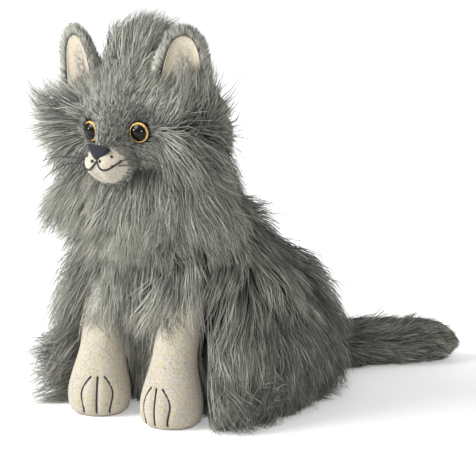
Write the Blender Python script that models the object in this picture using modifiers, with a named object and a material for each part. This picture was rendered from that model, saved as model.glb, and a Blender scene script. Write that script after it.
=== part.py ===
"""Sitting long-haired plush cat, in metres, +Z up, facing -Y, with its left side at +X.

The origin is the middle of the flat seat panel, on the surface the cat sits on. Each cloth
piece is its own solid: the long-pile skins are the backing with the dense part of the pile,
and the stuffing sits inside them. The head turns and nods on the stuffed neck, and the tail
swings and lifts on its sewn root.
"""

import math

import bmesh
import bpy
from mathutils import Matrix, Vector

# Clearances
GAP = 0.0003            # air between two pieces that touch
JOINT_AIR = 0.0008      # air round the stuffed balls that the head and the tail move on
FLOOR_DEPTH = 0.05      # how far cutters reach below the floor
FAR = 0.4               # reach of a cutter that only has to be large

# Cloth
LONG_PILE = 0.008       # torso, haunch and head skin: backing and dense pile
VELOUR = 0.0025         # pale cloth of the paws and the muzzle
SEAT_CLOTH = 0.0025     # flat panel under the torso
SKIN_BOTTOM = SEAT_CLOTH + GAP
EAR_PLUSH = 0.0042      # short plush at the back of an ear
EAR_LINING = 0.0018     # pale cloth inside an ear

# Torso
TORSO_HEIGHT = 0.166
TORSO_HALF_WIDTH = 0.079
CHEST_REACH = 0.088     # from the origin forward to the front of the chest
RUMP_REACH = 0.088      # from the origin back to the rump
SHOULDER_SHARE = 0.86   # of the height, where the torso starts to close over
CHEST_PANEL_HALF = 0.026
POUCH_RADII = (0.040, 0.042, 0.011)
POUCH_Y = 0.020

# Shares of the torso's own sizes: height, half width, chest reach, rump reach
TORSO_PROFILE = (
    (0.00, 0.78, -0.34, 0.82),
    (0.14, 0.94, -0.48, 0.96),
    (0.34, 1.00, -0.60, 1.00),
    (0.52, 0.96, -0.82, 0.86),
    (0.68, 0.86, -0.97, 0.62),
    (0.82, 0.74, -1.00, 0.34),
    (1.00, 0.60, -0.94, 0.06),
)

# Haunches
HAUNCH_RADII = (0.030, 0.066, 0.044)
HAUNCH_BURY = 0.021     # how far a haunch's centre lies inside the torso's side
HAUNCH_Y = -0.002
HAUNCH_Z = 0.040

# Forelegs
FORELEG_X = 0.034
PAW_Y = -0.082          # centre of the paw
FORELEG_LEAN = 0.030    # how far back the top of the leg lies
PAW_HALF_WIDTH = 0.0235
PAW_HALF_LENGTH = 0.0235
PAW_HEIGHT = 0.040
LEG_RADIUS = 0.0165
FORELEG_HEIGHT = 0.112  # its top lies inside the chest, which cuts it off
TOE_THREAD = 0.0006     # radius of the embroidery thread
TOE_SPREAD = 0.0085     # between two toe lines
TOE_TOP = 0.031
TOE_BOTTOM = 0.0035

# Neck, a stuffed ball that the head turns and nods on
NECK_RADIUS = 0.030
NECK_SINK = 0.020       # how deep it sits in the torso

# Head, placed from the neck's centre
HEAD_FORWARD = 0.019
HEAD_RISE = 0.046
HEAD_RADII = (0.058, 0.048, 0.048)
HEAD_TILT = math.radians(-4)
GUSSET_HALF = 0.011

# Face, placed from the head's centre
SNOUT_AT = (0, -0.040, -0.010)
SNOUT_RADII = (0.0135, 0.0225, 0.027)
MUZZLE_AT = (0, -0.049, -0.029)
MUZZLE_RADII = (0.0205, 0.0155, 0.0150)
NOSE_AT = (0, -0.050, -0.0185)
NOSE_RADII = (0.0135, 0.0158, 0.0105)
NOSE_HALF_WIDTH = 0.0092
NOSE_TOP = 0.0055
NOSE_BOTTOM = -0.0052
MOUTH_THREAD = 0.0006
MOUTH_HALF_WIDTH = 0.0165
MOUTH_MIDDLE = 0.0022   # heights from the muzzle's centre
MOUTH_DIP = -0.0035
MOUTH_END = 0.0010
DOT_RADIUS = 0.0008
DOTS = ((0.0042, 0.0030), (0.0118, 0.0070), (0.0128, 0.0004))
WHISKER_RADIUS = 0.0003
WHISKER_LENGTH = 0.046

# Eyes: a domed lens on a black backing, whose shank is held by a washer inside the head
EYE_X = 0.0226
EYE_Z = -0.002
EYE_RADIUS = 0.0080
EYE_DOME = 0.0050
EYE_SINK = 0.0032       # the backing's face below the dense pile
EYE_BACKING = 0.0012
SHANK_RADIUS = 0.0021
SHANK_LENGTH = 0.0120
WASHER_RADIUS = 0.0062
WASHER_THICKNESS = 0.0014
WASHER_SINK = 0.0016    # below the skin, whose inside is hollow there

# Ears, placed from the head's centre
EAR_AT = (0.046, -0.022, 0.020)
EAR_RADII = (0.0215, 0.0120, 0.048)
EAR_SINK = 0.012        # how far the cup's open side goes on below its widest place
EAR_TAPER = 0.26
EAR_TURN = math.radians(16)
EAR_SPLAY = math.radians(8)

# Tail
TAIL_ROOT_RADIUS = 0.0105
TAIL_ROOT_Z = 0.022
TAIL_ROOT_PROUD = 0.005  # how far its centre stands out of the rump
TAIL_RADIUS = 0.0155
TAIL_REACH = (0.088, 0.126)  # sideways and back, from its root to its tip
TAIL_SKIN = 0.005

# Fineness of the round shapes
RING = 24
LEG_RING = 16
TUBE_RESOLUTION = 1

GREY = (0.20, 0.205, 0.20)
PALE = (0.62, 0.56, 0.46)
COLOURS = {
    "long_pile": (GREY, 0.95, 0),
    "short_plush": ((0.26, 0.265, 0.25), 0.95, 0),
    "velour": (PALE, 0.9, 0),
    "seat_cloth": ((0.15, 0.15, 0.15), 0.9, 0),
    "fibre_fill": ((0.85, 0.85, 0.83), 1.0, 0),
    "pouch_cloth": ((0.75, 0.72, 0.64), 0.9, 0),
    "thread": ((0.015, 0.015, 0.018), 0.6, 0),
    "nose_cloth": ((0.03, 0.032, 0.04), 0.8, 0),
    "eye_lens": ((0.75, 0.42, 0.06), 0.05, 0),
    "black_plastic": ((0.01, 0.01, 0.01), 0.3, 0),
    "washer_plastic": ((0.8, 0.8, 0.78), 0.4, 0),
}


def clear_scene():
    for obj in list(bpy.data.objects):
        bpy.data.objects.remove(obj)


def collection(name):
    made = bpy.data.collections.new(name)
    bpy.context.scene.collection.children.link(made)
    return made


clear_scene()
PARTS = collection("plush_cat")
CUTTERS = collection("cutters")


def material(name):
    found = bpy.data.materials.get(name)
    if found:
        return found
    colour, roughness, metallic = COLOURS[name]
    made = bpy.data.materials.new(name)
    made.use_nodes = True
    shader = made.node_tree.nodes["Principled BSDF"]
    shader.inputs["Base Color"].default_value = (*colour, 1)
    shader.inputs["Roughness"].default_value = roughness
    shader.inputs["Metallic"].default_value = metallic
    return made


def new_object(name, data, cloth=None, parent=None):
    """A part if it has a cloth, or else a cutter."""
    obj = bpy.data.objects.new(name, data)
    (PARTS if cloth else CUTTERS).objects.link(obj)
    if cloth:
        data.materials.append(material(cloth))
    else:
        obj.hide_render = True
        obj.display_type = "WIRE"
    obj.parent = parent
    return obj


def mesh_from(bm, name):
    mesh = bpy.data.meshes.new(name)
    bmesh.ops.recalc_face_normals(bm, faces=bm.faces)
    bm.to_mesh(mesh)
    bm.free()
    mesh.shade_smooth()
    mesh.set_sharp_from_angle(angle=math.radians(50))
    return mesh


def copy_of(source, name, cloth):
    """A part that starts as a cutter's own shape."""
    made = new_object(name, source.data.copy(), cloth, source.parent)
    made.matrix_basis = source.matrix_basis
    return made


def boolean(obj, other, operation):
    modifier = obj.modifiers.new(f"{operation} {other.name}", "BOOLEAN")
    modifier.operation = operation
    modifier.object = other


def cut(obj, *cutters):
    for cutter in cutters:
        boolean(obj, cutter, "DIFFERENCE")


def keep_inside(obj, *regions):
    for region in regions:
        boolean(obj, region, "INTERSECT")


def box(name, low, high, parent=None):
    bm = bmesh.new()
    bmesh.ops.create_cube(bm, size=1)
    low, high = Vector(low), Vector(high)
    size = high - low
    bmesh.ops.scale(bm, vec=size, verts=bm.verts)
    bmesh.ops.translate(bm, vec=(low + high) / 2, verts=bm.verts)
    return new_object(name, mesh_from(bm, name), parent=parent)


def ball(name, radii, centre=(0, 0, 0), parent=None, segments=RING, reshape=None):
    """An ellipsoid whose own axes are the parent's. reshape moves each point of it."""
    bm = bmesh.new()
    bmesh.ops.create_uvsphere(bm, u_segments=segments, v_segments=segments // 2, radius=1)
    bmesh.ops.scale(bm, vec=radii, verts=bm.verts)
    if reshape:
        for vert in bm.verts:
            vert.co = reshape(vert.co)
    bmesh.ops.translate(bm, vec=centre, verts=bm.verts)
    return new_object(name, mesh_from(bm, name), parent=parent)


def drum(name, radius, low, high, parent, segments=24):
    bm = bmesh.new()
    bmesh.ops.create_cone(
        bm, cap_ends=True, segments=segments, radius1=radius, radius2=radius, depth=high - low
    )
    bmesh.ops.translate(bm, vec=(0, 0, (low + high) / 2), verts=bm.verts)
    return new_object(name, mesh_from(bm, name), parent=parent)


def turned(name, profile, cloth, parent, steps=20):
    """Turns a profile of (radius, height) points, run from top to bottom, about the parent's Z.

    A profile that ends where it starts makes a ring.
    """
    mesh = bpy.data.meshes.new(name)
    bm = bmesh.new()
    is_ring = profile[0] == profile[-1]
    places = profile[:-1] if is_ring else profile
    points = [bm.verts.new((radius, 0, height)) for radius, height in places]
    for start, end in zip(points, points[1:]):
        bm.edges.new((start, end))
    if is_ring:
        bm.edges.new((points[-1], points[0]))
    bm.to_mesh(mesh)
    bm.free()
    obj = new_object(name, mesh, cloth, parent)
    screw = obj.modifiers.new("turn", "SCREW")
    screw.steps = screw.render_steps = steps
    screw.use_merge_vertices = True
    screw.merge_threshold = 0.00001
    screw.use_smooth_shade = True
    return obj


def thread(name, points, radius, cloth, parent=None):
    """A round thread through the points."""
    curve = bpy.data.curves.new(name, "CURVE")
    curve.dimensions = "3D"
    curve.bevel_depth = radius
    curve.bevel_resolution = TUBE_RESOLUTION
    curve.use_fill_caps = True
    spline = curve.splines.new("POLY")
    spline.points.add(len(points) - 1)
    for point, place in zip(spline.points, points):
        point.co = (*place, 1)
    return new_object(name, curve, cloth, parent)


def smooth_step(share):
    return share * share * (3 - 2 * share)


def at_share(profile, share):
    """The profile's row at a share of the height, on a smooth curve through its rows."""
    share = min(max(share, profile[0][0]), profile[-1][0])
    index = 0
    while index < len(profile) - 2 and share > profile[index + 1][0]:
        index += 1
    rows = [profile[min(max(index + k, 0), len(profile) - 1)] for k in (-1, 0, 1, 2)]
    before, start, end, after = rows
    span = end[0] - start[0]
    t = (share - start[0]) / span
    made = []
    for a, b, c, d in zip(before[1:], start[1:], end[1:], after[1:]):
        rise_b = (c - a) / max(end[0] - before[0], 1e-9) * span
        rise_c = (d - b) / max(after[0] - start[0], 1e-9) * span
        made.append(
            b * (1 + 2 * t) * (1 - t) ** 2
            + rise_b * t * (1 - t) ** 2
            + c * t * t * (3 - 2 * t)
            + rise_c * t * t * (t - 1)
        )
    return made


def own_bottom_first(bottom, start, top, count):
    """Heights from start to top that every skin of a shape shares, after the skin's own bottom.

    Skins with the same heights have parallel facets, so the air between them stays even.
    """
    shared = [start + (top - start) * k / count for k in range(count + 1)]
    return [bottom] + [height for height in shared if height > bottom + 0.001]


def ring_points(centre, half_width, half_depth, height, count=RING):
    turns = [2 * math.pi * k / count for k in range(count)]
    return [
        Vector((
            centre[0] + half_width * math.cos(turn),
            centre[1] + half_depth * math.sin(turn),
            height,
        ))
        for turn in turns
    ]


def loft(name, rings, parent=None):
    """A closed skin through rings of equally many points, lowest first, with flat ends."""
    bm = bmesh.new()
    rows = [[bm.verts.new(place) for place in ring] for ring in rings]
    count = len(rows[0])
    for lower, upper in zip(rows, rows[1:]):
        for k in range(count):
            after = (k + 1) % count
            bm.faces.new((lower[k], lower[after], upper[after], upper[k]))
    bm.faces.new(rows[0])
    bm.faces.new(rows[-1])
    return new_object(name, mesh_from(bm, name), parent=parent)


# Torso


def torso_section(height):
    """Half width, front and back of the torso at a height, before it closes over at the top."""
    width, front, back = at_share(TORSO_PROFILE, height / TORSO_HEIGHT)
    return width * TORSO_HALF_WIDTH, front * CHEST_REACH, back * RUMP_REACH


def torso_shape(name, outset=0.0, bottom=0.0):
    """The torso grown by outset, or shrunk by a negative one, with its flat bottom at a height."""
    shoulder = TORSO_HEIGHT * SHOULDER_SHARE
    top = TORSO_HEIGHT + outset
    rise = top - shoulder
    heights = own_bottom_first(bottom, SKIN_BOTTOM, shoulder, 7)
    heights += [shoulder + rise * math.sin(math.radians(angle)) for angle in (22, 44, 66, 84)]
    rings = []
    for height in heights:
        half_width, front, back = torso_section(height)
        over = max(height - shoulder, 0) / rise
        closing = math.sqrt(max(1 - over * over, 0))
        rings.append(
            ring_points(
                (0, (front + back) / 2),
                (half_width + outset) * closing,
                ((back - front) / 2 + outset) * closing,
                height,
            )
        )
    return loft(name, rings)


_, SHOULDER_FRONT, SHOULDER_BACK = torso_section(TORSO_HEIGHT)
NECK_CENTRE = Vector((
    0,
    (SHOULDER_FRONT + SHOULDER_BACK) / 2,
    TORSO_HEIGHT - NECK_SINK + NECK_RADIUS,
))
TAIL_ROOT = Vector((0, torso_section(TAIL_ROOT_Z)[2] + TAIL_ROOT_PROUD, TAIL_ROOT_Z))

torso_outside = torso_shape("torso_outside", bottom=SKIN_BOTTOM)
torso_inside = torso_shape("torso_inside", -LONG_PILE, -FLOOR_DEPTH)
torso_clear = torso_shape("torso_clear", GAP, -FLOOR_DEPTH)
neck_seat = ball("neck_seat", [NECK_RADIUS + JOINT_AIR] * 3, NECK_CENTRE)
tail_seat = ball("tail_seat", [TAIL_ROOT_RADIUS + JOINT_AIR] * 3, TAIL_ROOT)
left_side = box("left_side", (GAP / 2, -FAR, -FAR), (FAR, FAR, FAR))
right_side = box("right_side", (-FAR, -FAR, -FAR), (-GAP / 2, FAR, FAR))
above_floor = box("above_floor", (-FAR, -FAR, 0), (FAR, FAR, FAR))
chest_region = box(
    "chest_region", (-CHEST_PANEL_HALF, -FAR, -FAR), (CHEST_PANEL_HALF, NECK_CENTRE.y, FAR)
)
chest_clear = box(
    "chest_clear",
    (-CHEST_PANEL_HALF - GAP, -FAR, -FAR),
    (CHEST_PANEL_HALF + GAP, NECK_CENTRE.y + GAP, FAR),
)
SIDES = (("left", 1, left_side), ("right", -1, right_side))


def build_torso():
    for side, _, half in SIDES:
        skin = copy_of(torso_outside, f"torso_skin_{side}", "long_pile")
        keep_inside(skin, half)
        cut(skin, torso_inside, neck_seat, tail_seat, chest_clear)
    chest = copy_of(torso_outside, "chest_panel", "long_pile")
    cut(chest, torso_inside, neck_seat)
    keep_inside(chest, chest_region)

    half_width, front, back = torso_section(0)
    outline = ring_points((0, (front + back) / 2), half_width, (back - front) / 2, 0)
    upper = [place + Vector((0, 0, SEAT_CLOTH)) for place in outline]
    seat = loft("seat_outline", (outline, upper))
    copy_of(seat, "seat_panel", "seat_cloth")

    pouch_z = SKIN_BOTTOM + POUCH_RADII[2]
    pouch = ball("pouch_shape", POUCH_RADII, (0, POUCH_Y, pouch_z))
    room = ball(
        "pouch_room", [radius + GAP for radius in POUCH_RADII], (0, POUCH_Y, pouch_z)
    )
    copy_of(pouch, "pellet_pouch", "pouch_cloth")
    core = torso_shape("torso_core", -LONG_PILE - GAP, SKIN_BOTTOM)
    fill = copy_of(core, "torso_fill", "fibre_fill")
    cut(fill, room, neck_seat, tail_seat)


# Haunches and forelegs


def build_haunch(side, sign, leg_clear):
    centre = (sign * (TORSO_HALF_WIDTH - HAUNCH_BURY), HAUNCH_Y, HAUNCH_Z)
    outside = ball(f"haunch_outside_{side}", HAUNCH_RADII, centre)
    inside = ball(f"haunch_inside_{side}", [r - LONG_PILE for r in HAUNCH_RADII], centre)
    core = ball(f"haunch_core_{side}", [r - LONG_PILE - GAP for r in HAUNCH_RADII], centre)
    skin = copy_of(outside, f"haunch_skin_{side}", "long_pile")
    cut(skin, inside, torso_clear, leg_clear)
    keep_inside(skin, above_floor)
    fill = copy_of(core, f"haunch_fill_{side}", "fibre_fill")
    cut(fill, torso_clear, leg_clear)


def leg_section(height):
    """Half width, half length and middle (along Y) of the foreleg at a height."""
    sole = min(height / (PAW_HEIGHT * 0.35), 1)
    rounding = 0.80 + 0.20 * math.sqrt(max(1 - (1 - sole) ** 2, 0))
    ankle = smooth_step(min(max((height - PAW_HEIGHT * 0.35) / PAW_HEIGHT, 0), 1))
    half_width = rounding * (PAW_HALF_WIDTH + (LEG_RADIUS - PAW_HALF_WIDTH) * ankle)
    half_length = rounding * (PAW_HALF_LENGTH + (LEG_RADIUS - PAW_HALF_LENGTH) * ankle)
    lean = FORELEG_LEAN * (max(height, 0) / FORELEG_HEIGHT) ** 2.4
    return half_width, half_length, PAW_Y + lean


def leg_shape(name, sign, outset=0.0, bottom=0.0):
    heights = own_bottom_first(bottom, 0, FORELEG_HEIGHT, 13)
    rings = []
    for height in heights:
        half_width, half_length, middle = leg_section(max(height, 0))
        centre = (sign * FORELEG_X, middle)
        rings.append(
            ring_points(centre, half_width + outset, half_length + outset, height, LEG_RING)
        )
    return loft(name, rings)


def toe_line(sign, sideways):
    """Points down the front of a paw, standing clear of the cloth by the thread's radius."""
    points = []
    for k in range(8):
        height = TOE_TOP + (TOE_BOTTOM - TOE_TOP) * k / 7
        half_width, half_length, middle = leg_section(height)
        lift = TOE_THREAD + 1.5 * GAP
        x = sideways * math.sin(math.pi * (0.32 + 0.42 * k / 7))
        reach = math.sqrt(max(1 - (x / (half_width + lift)) ** 2, 0))
        points.append((sign * FORELEG_X + x, middle - (half_length + lift) * reach, height))
    return points


def build_foreleg(side, sign):
    outside = leg_shape(f"leg_outside_{side}", sign)
    inside = leg_shape(f"leg_inside_{side}", sign, -VELOUR, VELOUR)
    core = leg_shape(f"leg_core_{side}", sign, -VELOUR - GAP, VELOUR + GAP)
    skin = copy_of(outside, f"foreleg_skin_{side}", "velour")
    cut(skin, inside, torso_clear)
    fill = copy_of(core, f"foreleg_fill_{side}", "fibre_fill")
    cut(fill, torso_clear)
    for number, place in enumerate((-1, 0, 1), start=1):
        line = toe_line(sign, place * TOE_SPREAD)
        thread(f"toe_stitch_{side}_{number}", line, TOE_THREAD, "thread")
    return leg_shape(f"leg_clear_{side}", sign, GAP, -FLOOR_DEPTH)


# Neck and head


def build_neck():
    neck = ball("neck_shape", [NECK_RADIUS] * 3, NECK_CENTRE)
    copy_of(neck, "neck_fill", "fibre_fill")


head_frame = bpy.data.objects.new("head_frame", None)
PARTS.objects.link(head_frame)
head_frame.matrix_world = Matrix.Translation(NECK_CENTRE) @ Matrix.Rotation(HEAD_TILT, 4, "Y")
HEAD_CENTRE = Vector((0, -HEAD_FORWARD, HEAD_RISE))  # in the head's frame


def in_head(place):
    return HEAD_CENTRE + Vector(place)


def head_shape(name, outset=0.0):
    radii = [radius + outset for radius in HEAD_RADII]
    return ball(name, radii, HEAD_CENTRE, head_frame)


head_outside = head_shape("head_outside")
head_inside = head_shape("head_inside", -LONG_PILE)
head_core = head_shape("head_core", -LONG_PILE - GAP)
head_clear = head_shape("head_clear", GAP)
neck_socket = ball("neck_socket", [NECK_RADIUS + JOINT_AIR] * 3, (0, 0, 0), head_frame)


def eye_frame(side, sign):
    """An empty on the head's surface, its Z along the outward normal."""
    a, b, c = HEAD_RADII
    x, z = sign * EYE_X, EYE_Z
    y = -b * math.sqrt(1 - (x / a) ** 2 - (z / c) ** 2)
    normal = Vector((x / a**2, y / b**2, z / c**2)).normalized()
    frame = bpy.data.objects.new(f"eye_frame_{side}", None)
    PARTS.objects.link(frame)
    frame.parent = head_frame
    turn = normal.to_track_quat("Z", "Y").to_matrix().to_4x4()
    frame.matrix_basis = Matrix.Translation(in_head((x, y, z))) @ turn
    return frame


def build_eye(side, frame):
    dome_steps = 6
    rim = -EYE_SINK
    sphere = (EYE_RADIUS**2 + EYE_DOME**2) / (2 * EYE_DOME)
    widest = math.asin(min(EYE_RADIUS / sphere, 1))
    profile = []
    for k in range(dome_steps + 1):
        angle = widest * k / dome_steps
        profile.append((sphere * math.sin(angle), rim + EYE_DOME - sphere * (1 - math.cos(angle))))
    turned(f"eye_lens_{side}", profile + [(0, rim)], "eye_lens", frame)
    face = rim - GAP
    back = face - EYE_BACKING
    shank = (
        (0, face),
        (EYE_RADIUS, face),
        (EYE_RADIUS, back),
        (SHANK_RADIUS, back),
        (SHANK_RADIUS, back - SHANK_LENGTH),
        (0, back - SHANK_LENGTH),
    )
    turned(f"eye_shank_{side}", shank, "black_plastic", frame)
    top = -LONG_PILE - WASHER_SINK
    bore = SHANK_RADIUS + GAP
    washer = (
        (bore, top),
        (WASHER_RADIUS, top),
        (WASHER_RADIUS, top - WASHER_THICKNESS),
        (bore, top - WASHER_THICKNESS),
        (bore, top),
    )
    turned(f"eye_washer_{side}", washer, "washer_plastic", frame)


def eye_cutters(side, frame):
    seat = drum(f"eye_seat_{side}", EYE_RADIUS + GAP, -EYE_SINK - EYE_BACKING - 2 * GAP, 0.02, frame)
    hole = drum(f"shank_hole_{side}", SHANK_RADIUS + GAP, -0.02, 0, frame)
    inner = drum(
        f"washer_room_{side}",
        WASHER_RADIUS + GAP,
        -LONG_PILE - WASHER_SINK - WASHER_THICKNESS - GAP,
        0,
        frame,
    )
    shank_end = EYE_SINK + EYE_BACKING + SHANK_LENGTH + 2 * GAP
    deep = drum(f"shank_room_{side}", SHANK_RADIUS + GAP, -shank_end, 0, frame)
    return (seat, hole), (inner, deep)


def build_head():
    a, b, c = HEAD_RADII
    gusset_region = box(
        "gusset_region", (-GUSSET_HALF, -FAR, -FAR), (GUSSET_HALF, FAR, FAR), head_frame
    )
    fill = copy_of(head_core, "head_fill", "fibre_fill")
    cut(fill, neck_socket)
    for side, sign, _ in SIDES:
        frame = eye_frame(side, sign)
        skin_cutters, fill_cutters = eye_cutters(side, frame)
        edges = sorted((sign * (GUSSET_HALF + GAP), sign * FAR))
        region = box(f"cheek_region_{side}", (edges[0], -FAR, -FAR), (edges[1], FAR, FAR), head_frame)
        skin = copy_of(head_outside, f"head_skin_{side}", "long_pile")
        cut(skin, head_inside, neck_socket, *skin_cutters)
        keep_inside(skin, region)
        cut(fill, *fill_cutters)
        build_eye(side, frame)
    gusset = copy_of(head_outside, "head_gusset", "long_pile")
    cut(gusset, head_inside, neck_socket)
    keep_inside(gusset, gusset_region)


# Face


def muzzle_point(x, z, lift):
    """A point over the muzzle's front, at x and z from its centre."""
    a, b, c = (radius + lift for radius in MUZZLE_RADII)
    y = -b * math.sqrt(max(1 - (x / a) ** 2 - (z / c) ** 2, 0))
    return in_head(MUZZLE_AT) + Vector((x, y, z))


def muzzle_shape(name, outset):
    radii = [radius + outset for radius in MUZZLE_RADII]
    return ball(name, radii, in_head(MUZZLE_AT), head_frame)


def snout_shape(name, outset):
    radii = [radius + outset for radius in SNOUT_RADII]
    return ball(name, radii, in_head(SNOUT_AT), head_frame)


def build_face():
    snout_clear = snout_shape("snout_clear", GAP)
    snout = copy_of(snout_shape("snout_outside", 0), "snout_cover", "short_plush")
    cut(snout, head_clear)

    muzzle = copy_of(muzzle_shape("muzzle_outside", 0), "muzzle_cover", "velour")
    cut(muzzle, muzzle_shape("muzzle_inside", -VELOUR), head_clear, snout_clear)
    core = muzzle_shape("muzzle_core", -VELOUR - GAP)
    cut(copy_of(core, "muzzle_fill", "fibre_fill"), head_clear, snout_clear)

    nose = copy_of(
        ball("nose_shape", NOSE_RADII, in_head(NOSE_AT), head_frame), "nose", "nose_cloth"
    )
    keep_inside(nose, nose_prism())
    cut(nose, snout_clear, muzzle_shape("muzzle_clear", GAP))
    build_mouth()
    build_whiskers()


def nose_prism():
    """A triangle with blunt corners, standing on its point, swept along Y."""
    x, y, z = in_head(NOSE_AT)
    blunt = 0.0016
    outline = (
        (-NOSE_HALF_WIDTH, NOSE_TOP - blunt),
        (-NOSE_HALF_WIDTH + blunt, NOSE_TOP),
        (NOSE_HALF_WIDTH - blunt, NOSE_TOP),
        (NOSE_HALF_WIDTH, NOSE_TOP - blunt),
        (blunt, NOSE_BOTTOM),
        (-blunt, NOSE_BOTTOM),
    )
    curve = bpy.data.curves.new("nose_outline", "CURVE")
    curve.dimensions = "2D"
    curve.fill_mode = "BOTH"
    curve.extrude = 0.02
    spline = curve.splines.new("POLY")
    spline.points.add(len(outline) - 1)
    for point, (across, up) in zip(spline.points, outline):
        point.co = (across, up, 0, 1)
    spline.use_cyclic_u = True
    drawn = new_object("nose_outline", curve, parent=head_frame)
    drawn.matrix_basis = Matrix.Translation((x, y, z)) @ Matrix.Rotation(math.pi / 2, 4, "X")
    bpy.context.view_layer.update()
    evaluated = drawn.evaluated_get(bpy.context.evaluated_depsgraph_get())
    mesh = bpy.data.meshes.new_from_object(evaluated)
    bm = bmesh.new()
    bm.from_mesh(mesh)
    bmesh.ops.remove_doubles(bm, verts=bm.verts, dist=0.000001)
    prism = new_object("nose_prism", mesh_from(bm, "nose_prism"), parent=head_frame)
    prism.matrix_basis = drawn.matrix_basis
    bpy.data.objects.remove(drawn)
    return prism


def build_mouth():
    lift = MOUTH_THREAD + 1.5 * GAP
    for side, sign, _ in SIDES:
        points = []
        for k in range(10):
            t = k / 9
            x = sign * (0.0009 + (MOUTH_HALF_WIDTH - 0.0009) * t)
            level = MOUTH_MIDDLE + (MOUTH_END - MOUTH_MIDDLE) * t
            sag = 4 * t * (1 - t) * (MOUTH_DIP - (MOUTH_MIDDLE + MOUTH_END) / 2)
            points.append(muzzle_point(x, level + sag, lift))
        thread(f"mouth_stitch_{side}", points, MOUTH_THREAD, "thread", head_frame)
        for number, (x, z) in enumerate(DOTS, start=1):
            place = muzzle_point(sign * x, z, DOT_RADIUS + 1.5 * GAP)
            dot = ball(f"dot_shape_{side}_{number}", [DOT_RADIUS] * 3, place, head_frame, 8)
            copy_of(dot, f"whisker_dot_{side}_{number}", "thread")


def build_whiskers():
    for side, sign, _ in SIDES:
        for number, (rise, droop) in enumerate(((0.0040, 0.010), (0.0005, 0.021)), start=1):
            root = muzzle_point(sign * MUZZLE_RADII[0] * 0.955, rise, 3 * GAP)
            points = []
            for k in range(8):
                t = k / 7
                out = WHISKER_LENGTH * t
                points.append(
                    root + Vector((sign * out * 0.95, 0.10 * out, 0.10 * out - droop * t * t))
                )
            thread(f"whisker_{side}_{number}", points, WHISKER_RADIUS, "thread", head_frame)


# Ears


def build_ear(side, sign):
    frame = bpy.data.objects.new(f"ear_frame_{side}", None)
    PARTS.objects.link(frame)
    frame.parent = head_frame
    place = in_head((sign * EAR_AT[0], EAR_AT[1], EAR_AT[2]))
    turn = Matrix.Rotation(sign * EAR_TURN, 4, "Z") @ Matrix.Rotation(sign * EAR_SPLAY, 4, "Y")
    frame.matrix_basis = Matrix.Translation(place) @ turn

    def taper(place):
        narrowing = 1 - EAR_TAPER * max(place.z, 0) / EAR_RADII[2]
        return Vector((place.x * narrowing, place.y, place.z))

    def cup(name, inset):
        radii = [radius - inset for radius in EAR_RADII]
        return ball(name, radii, (0, 0, 0), frame, segments=20, reshape=taper)

    behind = box(f"ear_behind_{side}", (-FAR, 0, -EAR_SINK), (FAR, FAR, FAR), frame)
    back = copy_of(cup(f"ear_outside_{side}", 0), f"ear_back_{side}", "short_plush")
    cut(back, cup(f"ear_hollow_{side}", EAR_PLUSH), head_clear)
    keep_inside(back, behind)
    lining = copy_of(cup(f"lining_outside_{side}", EAR_PLUSH + GAP), f"ear_lining_{side}", "velour")
    cut(lining, cup(f"lining_hollow_{side}", EAR_PLUSH + GAP + EAR_LINING), head_clear)
    keep_inside(lining, behind)


# Tail


def tail_path(share):
    """The tail's middle line: straight back from the root, then round to the cat's left."""
    sideways, back = TAIL_REACH
    floor = TAIL_RADIUS + GAP - TAIL_ROOT_Z
    return TAIL_ROOT + Vector((
        sideways * share**1.5,
        back * (1.12 * share - 0.12 * share**3),
        floor * smooth_step(min(share * 2.5, 1)),
    ))


def tail_radius(share):
    root = 0.55 + 0.45 * smooth_step(min(share / 0.22, 1))
    tip = math.sqrt(max(1 - (max(share - 0.86, 0) / 0.145) ** 2, 0))
    return TAIL_RADIUS * root * tip


def tail_tube(name, inset, start, end):
    """The tail as a mesh, from one share of its length to another, shrunk by inset."""
    shared = [math.sin(math.pi / 2 * k / 18) for k in range(19)]
    shares = [start] + [share for share in shared if start + 0.01 < share < end - 0.004] + [end]
    curve = bpy.data.curves.new(name, "CURVE")
    curve.dimensions = "3D"
    curve.bevel_depth = 1
    curve.bevel_resolution = 4
    curve.use_fill_caps = True
    spline = curve.splines.new("POLY")
    spline.points.add(len(shares) - 1)
    for point, share in zip(spline.points, shares):
        point.co = (*tail_path(share), 1)
        point.radius = max(tail_radius(share) - inset, 0.0012)
    drawn = new_object(name + "_line", curve)
    bpy.context.view_layer.update()
    evaluated = drawn.evaluated_get(bpy.context.evaluated_depsgraph_get())
    mesh = bpy.data.meshes.new_from_object(evaluated)
    bm = bmesh.new()
    bm.from_mesh(mesh)
    bmesh.ops.remove_doubles(bm, verts=bm.verts, dist=0.000001)
    bpy.data.objects.remove(drawn)
    return new_object(name, mesh_from(bm, name))


def build_tail():
    root = ball("tail_root_shape", [TAIL_ROOT_RADIUS] * 3, TAIL_ROOT)
    copy_of(root, "tail_root_fill", "fibre_fill")
    start = 0.07
    skin = copy_of(tail_tube("tail_outside", 0, start, 1), "tail_skin", "long_pile")
    cut(skin, tail_tube("tail_inside", TAIL_SKIN, 0, 0.955), tail_seat)
    fill = copy_of(tail_tube("tail_core", TAIL_SKIN + GAP, start, 0.95), "tail_fill", "fibre_fill")
    cut(fill, tail_seat)


build_torso()
for leg_side, leg_sign, _ in SIDES:
    build_haunch(leg_side, leg_sign, build_foreleg(leg_side, leg_sign))
build_neck()
build_head()
build_face()
for ear_side, ear_sign, _ in SIDES:
    build_ear(ear_side, ear_sign)
build_tail()
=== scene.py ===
# %% [markdown]
# # A sitting long-haired plush cat
# The solid model gives each cloth piece its place and its size. This lesson dresses it: a dark
# cloth backing, tens of thousands of small locks of hair growing out of it, pale speckled
# velour for the paws, muzzle and ears, stitched lines, and glossy eyes.

import math

import bmesh
import bpy
import numpy as np
from mathutils import Matrix, Vector, kdtree


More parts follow.
